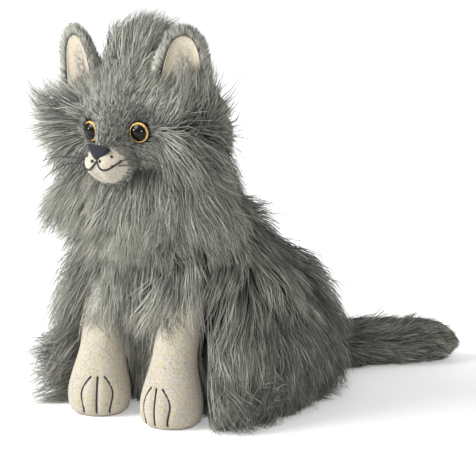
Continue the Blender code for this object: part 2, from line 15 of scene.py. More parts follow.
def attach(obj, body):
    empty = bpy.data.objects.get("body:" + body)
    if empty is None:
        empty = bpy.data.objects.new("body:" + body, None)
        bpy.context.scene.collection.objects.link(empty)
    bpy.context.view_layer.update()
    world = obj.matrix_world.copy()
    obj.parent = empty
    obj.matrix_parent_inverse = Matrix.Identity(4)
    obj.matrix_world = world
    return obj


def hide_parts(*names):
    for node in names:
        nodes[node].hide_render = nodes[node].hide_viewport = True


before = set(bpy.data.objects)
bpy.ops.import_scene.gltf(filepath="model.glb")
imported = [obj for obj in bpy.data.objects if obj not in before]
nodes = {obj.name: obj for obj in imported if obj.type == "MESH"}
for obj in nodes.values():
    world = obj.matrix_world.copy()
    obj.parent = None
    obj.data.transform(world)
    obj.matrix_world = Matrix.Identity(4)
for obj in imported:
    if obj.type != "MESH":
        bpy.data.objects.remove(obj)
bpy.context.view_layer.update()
scene = bpy.context.scene

# %% [markdown]
# ## Where things are
# The head leans a little to one side on the neck, so a place on it is easiest to give from the
# head's own centre. `on_head` turns such a place into the frame's metres.

# %% Places and sizes
NECK = Vector((0, -0.03872, 0.176))
HEAD_LEAN = Matrix.Rotation(math.radians(-4), 3, "Y")
HEAD_FROM_NECK = Vector((0, -0.019, 0.046))
HEAD_RADII = (0.058, 0.048, 0.048)
MUZZLE_AT = (0, -0.0500, -0.0280)
MUZZLE_RADII = (0.0196, 0.0172, 0.0150)
EYE_AT = (0.0226, -0.0442, -0.0055)
HAUNCH_RADII = (0.030, 0.066, 0.044)
TAIL_ROOT = Vector((0, 0.0891, 0.022))
FORELEG_X = 0.034
FORELEG_TOP = 0.112
PAW_Y = -0.082
SIDES = (("left", 1), ("right", -1))


def on_head(place):
    return NECK + HEAD_LEAN @ (HEAD_FROM_NECK + Vector(place))


def haunch_centre(sign):
    return (sign * 0.058, -0.002, 0.040)


def foreleg_middle(height):
    """Where the middle of a foreleg is along Y. Its top lies further back than its paw."""
    return PAW_Y + 0.030 * (height / FORELEG_TOP) ** 2.4


def from_head(points):
    """Places in the frame, one a row, as places from the head's centre."""
    turned = (points - np.array(NECK)) @ np.array(HEAD_LEAN)
    return turned - np.array(HEAD_FROM_NECK)


HEAD_CENTRE = on_head((0, 0, 0))
print("head centre:", [round(v, 4) for v in HEAD_CENTRE])

# %% [markdown]
# ## Finishes
# Each finish is a Principled BSDF. A number that is the same all over goes straight on its
# socket, and only what changes over the surface comes from nodes.


# %% Helpers for materials
def new_material(name, colour, roughness, **sockets):
    made = bpy.data.materials.new(name)
    made.use_nodes = True
    shader = made.node_tree.nodes["Principled BSDF"]
    shader.inputs["Base Color"].default_value = (*colour, 1)
    shader.inputs["Roughness"].default_value = roughness
    for socket, value in sockets.items():
        shader.inputs[socket.replace("_", " ")].default_value = value
    return made, made.node_tree, shader


def ramp(tree, source, stops):
    """A colour ramp fed by source. stops are (place, colour) pairs."""
    made = tree.nodes.new("ShaderNodeValToRGB")
    elements = made.color_ramp.elements
    while len(elements) < len(stops):
        elements.new(0.5)
    for element, (place, colour) in zip(elements, stops):
        element.position = place
        element.color = (*colour, 1)
    tree.links.new(source, made.inputs["Fac"])
    return made.outputs["Color"]


def noise_value(tree, vector, scale, detail=2.0, roughness=0.5):
    made = tree.nodes.new("ShaderNodeTexNoise")
    made.inputs["Scale"].default_value = scale
    made.inputs["Detail"].default_value = detail
    made.inputs["Roughness"].default_value = roughness
    tree.links.new(vector, made.inputs["Vector"])
    return made.outputs["Fac"]


def mix_colours(tree, share, first, second, blend="MIX"):
    made = tree.nodes.new("ShaderNodeMix")
    made.data_type = "RGBA"
    made.blend_type = blend
    for value, socket in ((share, 0), (first, 6), (second, 7)):
        if hasattr(value, "links"):
            tree.links.new(value, made.inputs[socket])
        elif socket == 0:
            made.inputs[socket].default_value = value
        else:
            made.inputs[socket].default_value = (*value, 1)
    return made.outputs[2]


def object_coords(tree):
    return tree.nodes.new("ShaderNodeTexCoord").outputs["Object"]


print("helpers for materials are ready")

# %% [markdown]
# ### Effects that cloths share
# The speckled print and the fine nap are used by more than one cloth, so each is a node group.


# %% The two shared effects
def new_group(name, inputs, output):
    """An empty node group. Its inputs and its output are (socket name, kind) pairs."""
    group = bpy.data.node_groups.new(name, "ShaderNodeTree")
    for socket, kind in inputs:
        group.interface.new_socket(socket, in_out="INPUT", socket_type=f"NodeSocket{kind}")
    group.interface.new_socket(
        output[0], in_out="OUTPUT", socket_type=f"NodeSocket{output[1]}"
    )
    return group, group.nodes.new("NodeGroupInput"), group.nodes.new("NodeGroupOutput")


def build_speckle_group():
    """Soft ochre and slate flecks printed on a pale cloth."""
    inputs = (("Cloth", "Color"), ("Ochre", "Color"), ("Slate", "Color"), ("Vector", "Vector"))
    group, entry, leave = new_group("speckled_print", inputs, ("Color", "Color"))
    vector = entry.outputs["Vector"]
    broad = noise_value(group, vector, 560, 3, 0.65)
    fine = noise_value(group, vector, 740, 3, 0.65)
    wide = noise_value(group, vector, 70, 2)
    ochre_mask = ramp(group, broad, ((0.45, (0, 0, 0)), (0.63, (0.9, 0.9, 0.9))))
    slate_mask = ramp(group, fine, ((0.48, (0, 0, 0)), (0.64, (0.8, 0.8, 0.8))))
    patch_mask = ramp(group, wide, ((0.36, (0.25, 0.25, 0.25)), (0.62, (1, 1, 1))))
    slate_share = mix_colours(group, 1.0, slate_mask, patch_mask, "MULTIPLY")
    with_ochre = mix_colours(group, ochre_mask, entry.outputs["Cloth"], entry.outputs["Ochre"])
    with_slate = mix_colours(group, slate_share, with_ochre, entry.outputs["Slate"])
    group.links.new(with_slate, leave.inputs["Color"])
    return group


def build_nap_group():
    """The height of a cloth's short nap."""
    inputs = (("Vector", "Vector"), ("Scale", "Float"))
    group, entry, leave = new_group("cloth_nap", inputs, ("Height", "Float"))
    tufts = group.nodes.new("ShaderNodeTexNoise")
    tufts.inputs["Detail"].default_value = 4
    group.links.new(entry.outputs["Vector"], tufts.inputs["Vector"])
    group.links.new(entry.outputs["Scale"], tufts.inputs["Scale"])
    group.links.new(tufts.outputs["Fac"], leave.inputs["Height"])
    return group


SPECKLE = build_speckle_group()
NAP = build_nap_group()


def use_group(tree, group, **values):
    """A group placed in a material, over the piece's own coordinates."""
    made = tree.nodes.new("ShaderNodeGroup")
    made.node_tree = group
    for socket, value in values.items():
        made.inputs[socket].default_value = value
    tree.links.new(object_coords(tree), made.inputs["Vector"])
    return made.outputs[0]


def add_bump(tree, shader, height, depth, strength=1.0):
    """Feeds the shader's normal from a height."""
    bump = tree.nodes.new("ShaderNodeBump")
    bump.inputs["Strength"].default_value = strength
    bump.inputs["Distance"].default_value = depth
    tree.links.new(height, bump.inputs["Height"])
    tree.links.new(bump.outputs["Normal"], shader.inputs["Normal"])


def add_nap(tree, shader, scale, depth):
    add_bump(tree, shader, use_group(tree, NAP, Scale=scale), depth, 0.8)


def add_wave(tree, shader, scale, depth, distortion=0.0, direction="X"):
    """The ridges of a twisted thread or a woven cloth."""
    ridges = tree.nodes.new("ShaderNodeTexWave")
    ridges.inputs["Scale"].default_value = scale
    ridges.inputs["Distortion"].default_value = distortion
    ridges.bands_direction = direction
    tree.links.new(object_coords(tree), ridges.inputs["Vector"])
    add_bump(tree, shader, ridges.outputs["Fac"], depth)


def speckled(tree, cloth, ochre, slate):
    """The colour of a printed velour."""
    return use_group(tree, SPECKLE, Cloth=(*cloth, 1), Ochre=(*ochre, 1), Slate=(*slate, 1))


def map_axes(tree, name):
    """The two axes of a piece's map."""
    place = tree.nodes.new("ShaderNodeUVMap")
    place.uv_map = name
    split = tree.nodes.new("ShaderNodeSeparateXYZ")
    tree.links.new(place.outputs["UV"], split.inputs["Vector"])
    return split.outputs["X"], split.outputs["Y"]


print("shared effects:", SPECKLE.name, NAP.name)


# %% [markdown]
# ### Hair
# A lock is dark at its root and paler at its tip, and no two are quite alike. Each lock carries
# a map: across is its own tone, up is the way from root to tip. The colour is worked out from
# that map alone, so one material colours every lock.


# %% Hair finishes
def hair_material(name, dark, light):
    """dark and light are the colours of the darkest and the palest lock at root, middle, tip."""
    made, tree, shader = new_material(
        name, light[1], 0.62, Specular_IOR_Level=0.25, Sheen_Weight=0.15, Sheen_Roughness=0.4
    )
    tone, along = map_axes(tree, "OFBake")
    stops = (0.0, 0.45, 1.0)
    dark_lock = ramp(tree, along, tuple(zip(stops, dark)))
    light_lock = ramp(tree, along, tuple(zip(stops, light)))
    colour = mix_colours(tree, tone, dark_lock, light_lock)
    tree.links.new(colour, shader.inputs["Base Color"])
    return made


LONG_HAIR = hair_material(
    "long_grey_hair",
    ((0.020, 0.021, 0.022), (0.050, 0.051, 0.050), (0.100, 0.101, 0.092)),
    ((0.120, 0.122, 0.114), (0.440, 0.440, 0.385), (0.780, 0.775, 0.650)),
)
SHORT_HAIR = hair_material(
    "short_grey_plush",
    ((0.050, 0.050, 0.047), (0.090, 0.090, 0.084), (0.150, 0.150, 0.136)),
    ((0.200, 0.202, 0.182), (0.480, 0.480, 0.420), (0.700, 0.700, 0.600)),
)


def napped(name, colour, roughness, scale, depth, **sockets):
    """A plain finish with a fine nap or grain."""
    made, tree, shader = new_material(name, colour, roughness, **sockets)
    add_nap(tree, shader, scale, depth)
    return made


BACKING = napped("pile_backing", (0.035, 0.036, 0.037), 0.95, 900, 0.0004)
NOSE_FLOCK = napped(
    "nose_flock", (0.017, 0.019, 0.025), 0.8, 1500, 0.0004,
    Specular_IOR_Level=0.2, Sheen_Weight=0.1,
)
FIBRE = napped("fibre_filling", (0.80, 0.80, 0.78), 0.95, 260, 0.002)
POUCH_CLOTH = napped("pouch_cloth", (0.62, 0.58, 0.50), 0.9, 700, 0.0006)
BLACK_PLASTIC = napped("black_plastic", (0.012, 0.012, 0.012), 0.3, 500, 0.00005)
WASHER_PLASTIC = napped("washer_plastic", (0.7, 0.7, 0.68), 0.45, 500, 0.00005)
print("finishes:", len(bpy.data.materials))

# %% [markdown]
# ### Velour, thread and woven cloth
# The velours share the speckled print. The thread and the seat's cloth have fine ridges.


# %% Velour, thread and seat cloth
def velour_material(name, cloth, ochre, slate):
    made, tree, shader = new_material(
        name, cloth, 0.88, Specular_IOR_Level=0.2, Sheen_Weight=0.3, Sheen_Roughness=0.5
    )
    tree.links.new(speckled(tree, cloth, ochre, slate), shader.inputs["Base Color"])
    add_nap(tree, shader, 1400, 0.0007)
    return made


PAW_VELOUR = velour_material(
    "speckled_velour", (0.50, 0.47, 0.405), (0.49, 0.38, 0.19), (0.23, 0.25, 0.28)
)
FACE_VELOUR = velour_material(
    "muzzle_velour", (0.52, 0.485, 0.41), (0.47, 0.38, 0.22), (0.27, 0.28, 0.29)
)
THREAD, tree, shader = new_material("embroidery_thread", (0.012, 0.012, 0.014), 0.55)
add_wave(tree, shader, 420, 0.0002, direction="DIAGONAL")
SEAT_CLOTH, tree, shader = new_material("seat_cloth", (0.09, 0.092, 0.094), 0.9)
add_wave(tree, shader, 300, 0.0003, distortion=0.6)
WHISKER = new_material("whisker_bristle", (0.006, 0.006, 0.007), 0.5)[0]
print("finishes:", len(bpy.data.materials))

# %% [markdown]

# %% [markdown]
# ## A lock of hair
# The real pile is millions of fibres that cling together in small locks. One lock is modelled
# as a thin three-sided cone, cut into rings so that it can bend. bmesh makes that cone once.
# Thousands of copies of it are then laid along their own paths, which is quicker than making
# each with modifiers and keeps every lock a closed shape.


# %% The lock and its copies
def lock_template(rings):
    """Where a lock's points are (share of its length, turn about it) and its faces."""
    bm = bmesh.new()
    bmesh.ops.create_cone(bm, cap_ends=True, segments=3, radius1=1, radius2=0, depth=1)
    bmesh.ops.translate(bm, vec=(0, 0, 0.5), verts=bm.verts)
    for k in range(1, rings):
        everything = bm.verts[:] + bm.edges[:] + bm.faces[:]
        bmesh.ops.bisect_plane(bm, geom=everything, plane_co=(0, 0, k / rings), plane_no=(0, 0, 1))
    bm.verts.index_update()
    share = np.array([vert.co.z for vert in bm.verts])
    turn = np.array([math.atan2(vert.co.y, vert.co.x) for vert in bm.verts])
    faces = [[vert.index for vert in face.verts] for face in bm.faces]
    bm.free()
    return share, turn, faces


TAPERS = {2: (0.9, 0.75, 0.0), 3: (0.85, 1.0, 0.62, 0.0)}
TEMPLATES = {rings: lock_template(rings) for rings in TAPERS}
LONG_WIDTH = 0.00043


def unit(vectors):
    return vectors / np.maximum(np.linalg.norm(vectors, axis=-1, keepdims=True), 1e-9)


def lay_locks(name, paths, half_width, tone, material, seed):
    """One mesh of closed locks. paths is (locks, rings + 1, 3), tone from 0, dark, to 1, pale."""
    count, rings = len(paths), paths.shape[1] - 1
    share, turn, faces = TEMPLATES[rings]
    rng = np.random.default_rng(seed)
    level = np.rint(share * rings).astype(int)
    heading = unit(np.gradient(paths, axis=1))
    roll = rng.normal(size=(count, 1, 3))
    across = unit(np.cross(heading, roll))
    through = unit(np.cross(heading, across))
    taper = np.array(TAPERS[rings])
    reach = half_width[:, None] * taper[level][None, :]
    points = (
        paths[:, level]
        + across[:, level] * (reach * np.cos(turn))[..., None]
        + through[:, level] * (0.6 * reach * np.sin(turn))[..., None]
    )
    sides = np.array([len(face) for face in faces])
    corners = np.concatenate(faces)
    loops = (corners[None, :] + (np.arange(count) * len(share))[:, None]).ravel()
    starts = np.concatenate(([0], np.cumsum(np.tile(sides, count))[:-1]))
    mesh = bpy.data.meshes.new(name)
    mesh.vertices.add(count * len(share))
    mesh.loops.add(len(loops))
    mesh.polygons.add(len(starts))
    mesh.vertices.foreach_set("co", points.astype(np.float32).ravel())
    mesh.loops.foreach_set("vertex_index", loops.astype(np.int32))
    mesh.polygons.foreach_set("loop_start", starts.astype(np.int32))
    mesh.update(calc_edges=True)
    corner_turn = (turn[corners] + math.pi) / (2 * math.pi)
    u = 0.02 + 0.92 * tone[:, None] + 0.05 * corner_turn[None, :]
    v = np.broadcast_to(0.01 + 0.98 * share[corners][None, :], u.shape)
    layer = mesh.uv_layers.new(name="OFBake")
    layer.data.foreach_set("uv", np.stack((u, v), -1).astype(np.float32).ravel())
    mesh.shade_smooth()
    mesh.materials.append(material)
    obj = bpy.data.objects.new(name, mesh)
    scene.collection.objects.link(obj)
    return obj


# %% [markdown]
# ## Cloth that the hair grows from
# The pile's backing is the outside of the solid skins, smoothed. `backing` copies a skin, drops
# its inner and cut faces, smooths it and gives it a cloth's thickness. `scatter` then picks
# root points all over it, in proportion to area, with the surface's own direction at each.


# %% Backing and roots
def new_piece(name, bm, material, body, replaced=()):
    mesh = bpy.data.meshes.new(name)
    bm.to_mesh(mesh)
    bm.free()
    mesh.shade_smooth()
    mesh.materials.append(material)
    obj = bpy.data.objects.new(name, mesh)
    scene.collection.objects.link(obj)
    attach(obj, body)
    if replaced:
        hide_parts(*replaced)
    return obj


LOWEST_CLOTH = 0.0019


def solid_copy(node, cuts=0):
    """A solid's shape as a bmesh, its faces cut smaller."""
    bm = bmesh.new()
    bm.from_mesh(nodes[node].data)
    bmesh.ops.remove_doubles(bm, verts=bm.verts, dist=0.00002)
    if cuts:
        bmesh.ops.subdivide_edges(bm, edges=bm.edges, cuts=cuts, use_grid_fill=True)
    bm.normal_update()
    return bm


def outside_of(node, core):
    """The outer faces of a solid skin. core gives a point inside it for each face."""
    bm = solid_copy(node)
    inner = []
    for face in bm.faces:
        middle = face.calc_center_median()
        if face.normal.dot((middle - core(middle)).normalized()) < 0.3:
            inner.append(face)
    bmesh.ops.delete(bm, geom=inner, context="FACES")
    bmesh.ops.join_triangles(
        bm, faces=bm.faces, angle_face_threshold=0.7, angle_shape_threshold=0.9
    )
    return bm


def backing(name, node, core, body):
    """Makes the smoothed cloth of a solid skin and gives its outer surface."""
    bm = outside_of(node, core)
    bmesh.ops.subdivide_edges(bm, edges=bm.edges, cuts=1, use_grid_fill=True)
    inside = [vert for vert in bm.verts if not vert.is_boundary]
    for _ in range(2):
        bmesh.ops.smooth_vert(
            bm, verts=inside, factor=0.5, use_axis_x=True, use_axis_y=True, use_axis_z=True
        )
    bm.normal_update()
    for vert in bm.verts:
        vert.co -= vert.normal * 0.001
        vert.co.z = max(vert.co.z, LOWEST_CLOTH)
    surface = bm.copy()
    obj = new_piece(name, bm, BACKING, body, [node])
    obj.modifiers.new("cloth", "SOLIDIFY").thickness = 0.0015
    return surface


def scatter(bm, count, seed):
    """Root points over a surface and the surface's direction at each, one a row."""
    bm = bm.copy()
    bmesh.ops.triangulate(bm, faces=bm.faces)
    bm.normal_update()
    corners = np.array([[v.co[:] for v in f.verts] for f in bm.faces])
    normals = np.array([[v.normal[:] for v in f.verts] for f in bm.faces])
    bm.free()
    area = np.linalg.norm(
        np.cross(corners[:, 1] - corners[:, 0], corners[:, 2] - corners[:, 0]), axis=1
    )
    rng = np.random.default_rng(seed)
    chosen = rng.choice(len(area), size=count, p=area / area.sum())
    a, b = rng.random(count), rng.random(count)
    flip = a + b > 1
    a[flip], b[flip] = 1 - a[flip], 1 - b[flip]
    weights = np.stack((1 - a - b, a, b), 1)[..., None]
    return (corners[chosen] * weights).sum(1), unit((normals[chosen] * weights).sum(1))


# %% [markdown]
# ## Combing
# A lock starts partly upright and bends over to the way it is combed, with its own weight
# pulling the end down. `drift` is a smooth random field: neighbours get nearly the same value,
# so the pile waves as a whole. Then locks cling: each leans towards the tip of the guide lock
# nearest to it, which gathers the pile into tufts with dark partings between them.


# %% Smooth randomness, growth and clinging
def drift(points, size, seed, channels=3):
    """Smooth random values between about -1 and 1 that change over a distance of size."""
    rng = np.random.default_rng(seed)
    total = np.zeros((len(points), channels))
    for _ in range(5):
        way = rng.normal(size=(3, channels))
        way *= 2 * math.pi / (size * 1.6) / np.linalg.norm(way, axis=0)
        total += np.sin(points @ way * rng.uniform(0.6, 1.5) + rng.uniform(0, 7, channels))
    return total / 2.6


def wave(points, size, seed):
    return drift(points, size, seed, 1)[:, 0]


def smooth(low, high, value):
    """From 0 at low to 1 at high, with no sudden start or stop."""
    t = np.clip((value - low) / (high - low), 0, 1)
    return t * t * (3 - 2 * t)


def tangent(way, normals):
    """way laid flat on the surface."""
    return unit(way - normals * (way * normals).sum(1, keepdims=True))


def combed(way, roots, normals, rng, seed, broad, fine, jitter=0.16):
    """way laid flat, with waves in it. broad and fine are (strength, size) of the waves."""
    way = way + (
        broad[0] * drift(roots, broad[1], seed) + fine[0] * drift(roots, fine[1], seed + 1)
    )
    return tangent(way + jitter * rng.normal(size=way.shape), normals)


def sized(width, rng, count):
    """Half widths of locks, no two alike."""
    return width * rng.uniform(0.6, 1.35, count)


def grow(roots, normals, comb, length, lift, droop, rings, seed, bend=0.30, sunk=0.001, hold=0.12):
    """Paths from the roots: upright by lift, then along comb, with droop pulling them down."""
    curl = np.random.default_rng(seed).normal(size=roots.shape) * bend
    start = comb * (1 - lift)[:, None] + normals * lift[:, None]
    hold = np.broadcast_to(hold, len(roots))[:, None]
    finish = comb + np.array((0, 0, -1.0)) * droop[:, None] + normals * hold + curl
    path = [roots - normals * sunk]
    for k in range(rings):
        t = (k + 0.5) / rings
        way = unit(start * (1 - t) + finish * t)
        path.append(path[-1] + way * (length / rings)[:, None])
    return np.stack(path, 1)


def cling(paths, spacing, strength, seed):
    """Pulls each lock towards a guide lock nearby, more so at its tip."""
    rng = np.random.default_rng(seed)
    roots = paths[:, 0]
    count = len(roots)
    picked = rng.permutation(count)[: max(int(count / spacing), 1)]
    tree = kdtree.KDTree(len(picked))
    for place, index in enumerate(picked):
        tree.insert(roots[index], place)
    tree.balance()
    nearest = picked[[tree.find(root)[1] for root in roots]]
    rings = paths.shape[1] - 1
    pull = (np.linspace(0, 1, rings + 1) ** 1.3)[None, :, None]
    share = np.clip(strength * rng.uniform(0.4, 1.3, (count, 1, 1)), 0, 0.96)
    share[rng.random(count) < 0.16] = 0.05
    guide = paths[nearest] + (roots - roots[nearest])[:, None] * 0.15
    return paths + (guide - paths) * pull * share, nearest


def gather(paths, seed):
    """Small tufts inside larger ones. Also gives each lock's guide, for its tone."""
    paths, _ = cling(paths, 90, 0.50, seed)
    return cling(paths, 9, 0.62, seed + 1)


def tones(roots, guide, middle, seed):
    """How pale each lock is: slow drifts, its tuft's own tone and its own."""
    rng = np.random.default_rng(seed)
    tuft = rng.normal(size=len(roots))[guide]
    slow = wave(roots, 0.030, seed + 1)
    return middle + 0.19 * slow + 0.22 * tuft + 0.24 * rng.normal(size=len(roots))


# %% [markdown]
# ## Keeping hair out of the body
# Hair lies on what is under it. These functions push a path's points out of the torso, the
# forelegs and the haunches, and lay them on the floor where they would reach below it.

# %% What the hair rests on
LOWEST_HAIR = 0.0012
HAIR_LIMITS = ((0, -0.1025, 0.1045), (1, -0.142, 0.238), (2, -1.0, 0.3095))
LOCKS = []
TORSO_ROWS = np.array((
    # height, half width, front, back
    (0.0000, 0.0616, -0.0299, 0.0722),
    (0.0232, 0.0743, -0.0422, 0.0845),
    (0.0564, 0.0790, -0.0528, 0.0880),
    (0.0863, 0.0758, -0.0722, 0.0757),
    (0.1129, 0.0679, -0.0854, 0.0546),
    (0.1361, 0.0585, -0.0880, 0.0299),
    (0.1520, 0.0400, -0.0760, 0.0100),
    (0.1660, 0.0010, -0.0400, -0.0380),
))
TORSO_TOP = TORSO_ROWS[-1, 0]


def clear_torso(points, margin):
    half_width, front, back = (
        np.interp(points[..., 2], TORSO_ROWS[:, 0], TORSO_ROWS[:, k]) for k in (1, 2, 3)
    )
    middle, half_depth = (front + back) / 2, (back - front) / 2
    across = points[..., 0] / (half_width + margin)
    along = (points[..., 1] - middle) / (half_depth + margin)
    out = np.sqrt(across**2 + along**2)
    inside = (out < 1) & (points[..., 2] < TORSO_TOP)
    push = np.where(inside, 1 / np.maximum(out, 0.3), 1)
    moved = points.copy()
    moved[..., 0] = points[..., 0] * push
    moved[..., 1] = middle + (points[..., 1] - middle) * push
    return moved


def clear_forelegs(points, margin):
    moved = points.copy()
    height = np.clip(points[..., 2], 0, FORELEG_TOP)
    middle = foreleg_middle(height)
    rows, radii = (0, 0.014, 0.054, FORELEG_TOP), (0.0225, 0.0235, 0.0165, 0.0165)
    radius = np.interp(height, rows, radii) + margin
    for _, sign in SIDES:
        dx = moved[..., 0] - sign * FORELEG_X
        dy = moved[..., 1] - middle
        away = np.maximum(np.sqrt(dx**2 + dy**2), 1e-5)
        push = np.where((away < radius) & (points[..., 2] < 0.105), radius / away, 1)
        moved[..., 0] = sign * FORELEG_X + dx * push
        moved[..., 1] = middle + dy * push
    return moved


def clear_haunches(points, margin):
    moved = points.copy()
    radii = np.array(HAUNCH_RADII) + margin
    for _, sign in SIDES:
        centre = np.array(haunch_centre(sign))
        out = np.linalg.norm((moved - centre) / radii, axis=-1)
        push = np.where(out < 1, 1 / np.maximum(out, 0.3), 1)[..., None]
        moved = centre + (moved - centre) * push
    return moved


def beside_paws(paths, top=0.066):
    """Which locks leave the paws bare: none hangs before a paw below the height top."""
    x, y, z = np.abs(paths[..., 0]), paths[..., 1], paths[..., 2]
    outward, forward = 0.80 * x + 0.60 * y, 0.60 * x - 0.80 * y
    hides = (outward < 0.0045) & (outward > -0.045) & (forward > 0.078) & (z < top)
    return ~hides.any(axis=1)


def lay_on_floor(paths):
    """Points that would reach below the floor lie on it, each ring a little above the last."""
    floor = LOWEST_HAIR * (1 + np.linspace(1, 0, paths.shape[1])[None, :])
    paths = paths.copy()
    paths[..., 2] = np.maximum(paths[..., 2], floor)
    return paths


def keep_near(values, low, high):
    """Values past low or high are squeezed, so that only their last hairs come near it."""
    soft = 0.008
    over = np.maximum(values - (high - soft), 0)
    under = np.maximum((low + soft) - values, 0)
    kept = values - over + soft * np.tanh(over / soft) * 0.95
    return kept + under - soft * np.tanh(under / soft) * 0.95


def hair_piece(name, paths, half_width, tone, material, body, seed):
    """Lays the locks and moves them with their body."""
    for axis, low, high in HAIR_LIMITS:
        paths[..., axis] = keep_near(paths[..., axis], low, high)
    obj = lay_locks(name, paths, half_width, np.clip(tone, 0, 1), material, seed)
    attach(obj, body)
    LOCKS.append(len(paths))
    print(name, len(paths), "locks")


print("torso rows:", len(TORSO_ROWS))

# %% [markdown]
# ## The torso
# The torso's pile is combed down and, on the flanks, back. On the chest it hangs over the tops
# of the forelegs. It is the longest pile on the cat, so it stands well out from the back.


# %% Torso hair
def torso_core(place):
    return Vector((0, 0.021 - 0.36 * place.z, place.z))


def torso_hair(surface, count, seed):
    roots, normals = scatter(surface, count, seed)
    rng = np.random.default_rng(seed + 1)
    x, y, z = roots.T
    chest = smooth(0.0, -0.055, y)
    low_chest = chest * smooth(0.135, 0.095, z)
    shoulder_edge = 0.055 - 0.020 * smooth(0.11, 0.14, z)
    shoulder = smooth(0.02, shoulder_edge, np.abs(x)) * smooth(0.02, -0.03, y)
    back = smooth(0.02, 0.05, y)
    way = np.stack((
        0.75 * x / 0.07 * (1 - 0.6 * low_chest), 0.65 * (1 - chest) - 0.40 * chest,
        -1.0 + 0.45 * smooth(0.12, 0.16, z),
    ), 1)
    way[:, 0] += 0.55 * np.sign(x) * shoulder
    way[:, 1] -= 0.55 * shoulder
    comb = combed(way, roots, normals, rng, seed + 2, (0.36, 0.045), (0.20, 0.016))
    length = 0.041 + 0.004 * wave(roots, 0.03, seed + 4) + 0.010 * low_chest
    length += 0.028 * shoulder + 0.014 * back
    neck = smooth(0.105, 0.150, z) * smooth(-0.035, 0.0, y)
    length *= 1 - 0.35 * neck
    # A band just under the mane: its pile is shorter, so the mane's ends overhang it, and its
    # locks are darkened as painted shade under the mane.
    mane_shadow_band = chest * np.exp(-(((z - 0.132) / 0.012) ** 2))
    length *= 1 - 0.45 * mane_shadow_band
    length *= rng.uniform(0.66, 1.10, count) * (1 - 0.35 * smooth(0.040, 0.0, z))
    lift = 0.46 + 0.10 * wave(roots, 0.02, seed + 5) + 0.10 * rng.normal(size=count)
    lift += 0.42 * shoulder + 0.22 * back - 0.20 * neck
    droop = 0.35 + 0.25 * rng.random(count) + 0.5 * low_chest - 0.30 * shoulder
    lean = unit(normals + shoulder[:, None] * np.array((0, -0.45, -0.20)))
    paths = grow(
        roots, lean, comb, length, np.clip(lift, 0.1, 0.95), droop, 3, seed + 6,
        hold=0.12 + 0.45 * shoulder,
    )
    paths, guide = gather(paths, seed + 7)
    for clear, margin in (
        (clear_torso, 0.0015), (clear_haunches, 0.0015), (clear_forelegs, 0.0025)
    ):
        paths[:, 1:] = clear(paths[:, 1:], margin)
    paths = lay_on_floor(paths)
    # Where the chest meets the flank, on both sides, the locks are darkened: painted shade in the
    # fold.
    fold_shade = np.exp(-(((y + 0.026) / 0.018) ** 2)) * smooth(0.030, 0.050, np.abs(x))
    # The tone is paler on the chest, with painted shade under the mane and in the fold.
    middle = 0.25 + 0.39 * chest - 0.20 * mane_shadow_band - 0.18 * fold_shade
    middle += 0.10 * wave(roots, 0.022, seed + 9)
    tone = tones(roots, guide, middle, seed + 8)
    width = sized(LONG_WIDTH, rng, count)
    on_chest = np.abs(x).max() < 0.04
    free = beside_paws(paths, 0.050 if on_chest else 0.066)
    return paths[free], width[free], tone[free]


for place, (side, node) in enumerate((
    ("left", "torso_skin_left"), ("right", "torso_skin_right"), ("chest", "chest_panel"),
)):
    surface = backing(f"torso_cloth_{side}", node, torso_core, "torso")
    hair = torso_hair(surface, 10800, 10 + 20 * place)
    hair_piece(f"torso_hair_{side}", *hair, LONG_HAIR, "torso", 5 + place)

# %% [markdown]
# ## The haunches
# A haunch's pile fans out from the thigh: forward beside the paw, out to the side and back, and
# its ends lie on the floor.


# %% Haunch hair
def haunch_hair(surface, sign, count, seed):
    roots, normals = scatter(surface, count, seed)
    rng = np.random.default_rng(seed + 1)
    y, z = roots[:, 1], roots[:, 2]
    way = np.stack((
        np.full(count, sign * 0.70), 1.3 * y / HAUNCH_RADII[1] - 0.20, np.full(count, -0.80)
    ), 1)
    fan = (y < -0.012) & (z < 0.045) & (rng.random(count) < 0.6)
    way[fan] = np.array((sign * 0.62, -0.95, -0.05))
    comb = combed(way, roots, normals, rng, seed + 2, (0.36, 0.04), (0.20, 0.014))
    length = (0.036 + 0.021 * smooth(0.01, -0.04, y) + 0.013 * fan) * rng.uniform(0.55, 1.1, count)
    lift = 0.48 + 0.12 * wave(roots, 0.018, seed + 5) + 0.09 * rng.normal(size=count)
    droop = 0.45 + 0.25 * rng.random(count)
    paths = grow(roots, normals, comb, length, np.clip(lift, 0.1, 0.8), droop, 3, seed + 6)
    paths, guide = gather(paths, seed + 7)
    paths[:, 1:] = clear_haunches(paths[:, 1:], 0.001)
    cleared = clear_forelegs(paths, 0.0030)
    free = (np.abs(cleared - paths).max(axis=(1, 2)) < 0.002) & beside_paws(cleared)
    tone = tones(roots, guide, 0.33, seed + 8)
    width = sized(LONG_WIDTH, rng, count)
    return lay_on_floor(cleared[free]), width[free], tone[free]


for place, (side, sign) in enumerate(SIDES):
    centre = Vector(haunch_centre(sign))
    surface = backing(f"haunch_cloth_{side}", f"haunch_skin_{side}", lambda _: centre, "torso")
    hair = haunch_hair(surface, sign, 7400, 110 + 20 * place)
    hair_piece(f"haunch_hair_{side}", *hair, LONG_HAIR, "torso", 105 + place)

# %% [markdown]
# ## The head
# Round the eyes and over the nose the pile is clipped short. It gets longer outwards, until it
# is a mane that stands out from the cheeks. In front it is combed away from the nose, on the
# crown it stands up, and behind it falls down the neck.


# %% Head hair
FACE = np.array((0, -0.050, -0.010))


def from_face(local):
    return np.linalg.norm(local - FACE, axis=1)


def from_eye(local):
    mirrored = np.stack((np.abs(local[:, 0]), local[:, 1], local[:, 2]), 1)
    return np.linalg.norm(mirrored - np.array(EYE_AT), axis=1)


